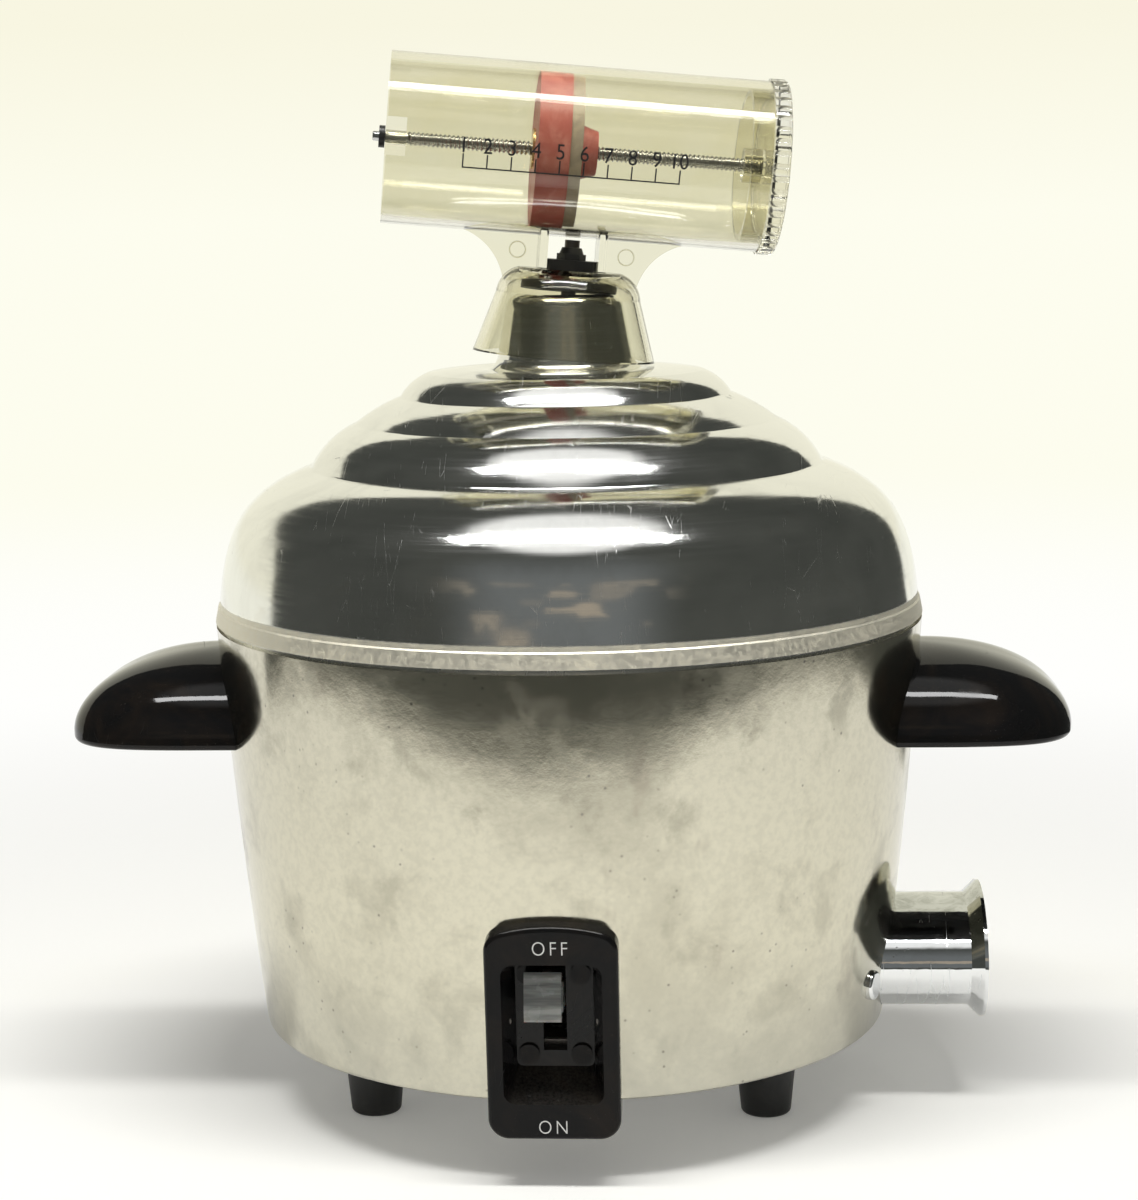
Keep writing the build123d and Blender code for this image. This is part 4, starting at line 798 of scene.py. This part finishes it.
def dark_table():
    """The table past the lamp's pool, which fades out over the pool's edge."""
    f = glowing("dark_table")
    out = f.reach(f.laid((1 / POOL[0], 1 / POOL[1], 1.0)))
    dark = f.blend(f.noise(3.0, 2.0), (0.050, 0.053, 0.048), (0.085, 0.088, 0.080))
    f.set("Emission Color", f.blend(f.between(out, 1.0, 1.14), (0.80, 0.79, 0.74), dark))
    return f.in_reflections_only()


def paper():
    """White paper. Near the object it takes light and shadow; further off it fades to an even cream."""
    f = Finish("studio_paper", Roughness=1.0, Specular_IOR_Level=0.0, Emission_Strength=1.0)
    out = f.reach(f.place)
    near = f.between(out, 0.14, 0.60, 1.0, 0.0)
    grain = f.noise(7.0, 3.0, 0.5)
    white = f.blend(f.times(grain, 0.04), (0.93, 0.922, 0.875), (0.84, 0.83, 0.78))
    f.set("Base Color", f.blend(near, (0.0, 0.0, 0.0), white))
    cream = f.blend(f.between(out, 0.55, 1.6), (1.0, 1.0, 0.98), (0.985, 0.98, 0.86))
    f.set("Emission Color", f.blend(near, cream, (0.13, 0.13, 0.126)))
    return f.material


class EGGCOOKER_OT_studio(bpy.types.Operator):
    """Set up the floor, the backdrop, the cards, the lamps and the camera"""

    bl_idname = "egg_cooker.studio"
    bl_label = "Studio"

    def execute(self, context):
        settings = context.scene.cooker_studio
        self.floor()
        self.cards()
        self.backdrop(context, settings)
        self.lamps(settings)
        self.camera(context, settings)
        return {"FINISHED"}

    def floor(self):
        """A flat disc: rings of points at growing radius, closed at its middle."""
        radius = np.concatenate([[0.0], np.geomspace(0.05, 9.0, 40)])[:, None]
        turn = np.linspace(0, 2 * np.pi, 96, endpoint=False)
        points = np.stack([radius * np.cos(turn), radius * np.sin(turn), 0 * radius * turn], -1)
        stage_piece("floor", points, paper(), closed=True)

    def cards(self):
        """The room is part of a ball: bearing from its left to its right edge, which depend on the rise,
        and rise from below the table to overhead. The table's card runs from the pool's edge outwards."""
        left_rises = (-4, 0, 10, 20, 26, 33, 42, 52, 62)
        left_edge = (105, 105, 108, 118, 138, 146, 152, 165, 180)
        right_rises, right_edge = (-4, 10, 22, 33, 42, 55, 62), (143, 146, 146, 148, 152, 165, 180)
        rise, share = np.meshgrid(np.linspace(-4, 90, 64), np.linspace(0, 1, 90), indexing="ij")
        left, right = -np.interp(rise, left_rises, left_edge), np.interp(rise, right_rises, right_edge)
        bearing, rise = np.radians(left + (right - left) * share), np.radians(rise)
        flat, height = ROOM_R * np.cos(rise), 0.10 + ROOM_R * np.sin(rise)
        points = np.stack([flat * np.sin(bearing), -flat * np.cos(bearing), height], -1)
        stage_piece("room_card", points, unlit_room(), seen_by_camera=False)
        bearings = np.radians(np.linspace(-104, 143, 90))
        bearing, share = np.meshgrid(bearings, np.linspace(0, 1, 24), indexing="ij")
        near = 1 / np.hypot(np.sin(bearing) / POOL[0], np.cos(bearing) / POOL[1])
        flat = near + (ROOM_R - near) * share**2
        points = np.stack([flat * np.sin(bearing), -flat * np.cos(bearing), 0 * flat + 0.0006], -1)
        stage_piece("table_card", points, dark_table(), seen_by_camera=False)

    def backdrop(self, context, settings):
        """A white backdrop that turns cream upwards, and an even light on everything dull."""
        world = bpy.data.worlds.new("backdrop")
        world.use_nodes = True
        context.scene.world = world
        world.node_tree.nodes.clear()
        w = Wiring(world.node_tree)
        ray = w.add("ShaderNodeLightPath").node.outputs
        seen = w.most(w.most(ray["Is Camera Ray"], ray["Is Glossy Ray"]), ray["Is Transmission Ray"])
        rise = w.axis("Z", w.add("ShaderNodeTexCoord", "Generated"))
        rise = w.between(rise, -0.01, 0.06, shape="LINEAR")
        tone = w.blend(rise, (0.985, 0.98, 0.86), (0.94, 0.92, 0.76))
        shown = w.add("ShaderNodeBackground", 0, {0: tone})
        even = w.add("ShaderNodeBackground", 0, {0: (1, 1, 1, 1), 1: settings.ambient})
        mixed = w.add("ShaderNodeMixShader", 0, {0: seen, 1: even, 2: shown})
        w.join(mixed, world.node_tree.nodes.new("ShaderNodeOutputWorld").inputs[0])

    def lamps(self, settings):
        """One broad lamp overhead, a little in front."""
        light = bpy.data.lights.new("softbox", "AREA")
        light.shape, light.energy = "RECTANGLE", settings.softbox
        light.size, light.size_y = settings.softbox_width, settings.softbox_depth
        lamp = bpy.data.objects.new("softbox", light)
        bpy.context.scene.collection.objects.link(lamp)
        lamp.location = (0.0, -0.28, 1.15)
        lamp.visible_camera = False

    def camera(self, context, settings):
        """The photograph's view: turned a little left, pitched down and slightly rolled."""
        turn, pitch, roll = radians(3.2), radians(8.72), radians(0.90)
        place = (0.03789, -0.67774, 0.2304)
        forward = Vector((-sin(turn) * cos(pitch), cos(turn) * cos(pitch), -sin(pitch)))
        level = Vector((cos(turn), sin(turn), 0))
        upright = level.cross(forward)
        right = cos(roll) * level - sin(roll) * upright
        up = sin(roll) * level + cos(roll) * upright
        data = bpy.data.cameras.new("camera")
        data.sensor_fit, data.sensor_width, data.lens = "HORIZONTAL", 36.0, settings.lens
        data.clip_start, data.clip_end = 0.02, 60.0
        camera = bpy.data.objects.new("camera", data)
        context.scene.collection.objects.link(camera)
        rows = [(right[i], up[i], -forward[i], place[i]) for i in range(3)]
        camera.matrix_world = Matrix((*rows, (0, 0, 0, 1)))
        context.scene.camera = camera
        context.scene.view_settings.view_transform = "Standard"


OPERATORS = (
    EGGCOOKER_OT_dress_aluminium,
    EGGCOOKER_OT_dress_hardware,
    EGGCOOKER_OT_dress_blacks,
    EGGCOOKER_OT_dress_measure,
    EGGCOOKER_OT_dress_works,
    EGGCOOKER_OT_threaded_rod,
    EGGCOOKER_OT_measure_scale,
    EGGCOOKER_OT_switch_words,
    EGGCOOKER_OT_moulding_rings,
    EGGCOOKER_OT_studio,
)


class EGGCOOKER_PT_panel(bpy.types.Panel):
    bl_idname = "EGGCOOKER_PT_panel"
    bl_label = "Egg cooker"
    bl_space_type = "VIEW_3D"
    bl_region_type = "UI"
    bl_category = "Egg cooker"

    def draw(self, context):
        for group in ("cooker_sizes", "cooker_colours", "cooker_studio"):
            values = getattr(context.scene, group)
            box = self.layout.box()
            for name in values.bl_rna.properties.keys():
                if name not in ("rna_type", "name"):
                    box.prop(values, name)
        for operator in OPERATORS:
            self.layout.operator(operator.bl_idname)


CLASSES = (CookerSizes, CookerColours, CookerStudio, *OPERATORS, EGGCOOKER_PT_panel)


def register():
    for cls in CLASSES:
        bpy.utils.register_class(cls)
    bpy.types.Scene.cooker_sizes = PointerProperty(type=CookerSizes)
    bpy.types.Scene.cooker_colours = PointerProperty(type=CookerColours)
    bpy.types.Scene.cooker_studio = PointerProperty(type=CookerStudio)


def unregister():
    for name in ("cooker_sizes", "cooker_colours", "cooker_studio"):
        delattr(bpy.types.Scene, name)
    for cls in reversed(CLASSES):
        bpy.utils.unregister_class(cls)


def main():
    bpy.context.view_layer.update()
    register()
    for operator in OPERATORS:
        group, name = operator.bl_idname.split(".")
        getattr(getattr(bpy.ops, group), name)()


if __name__ == "__main__":
    main()
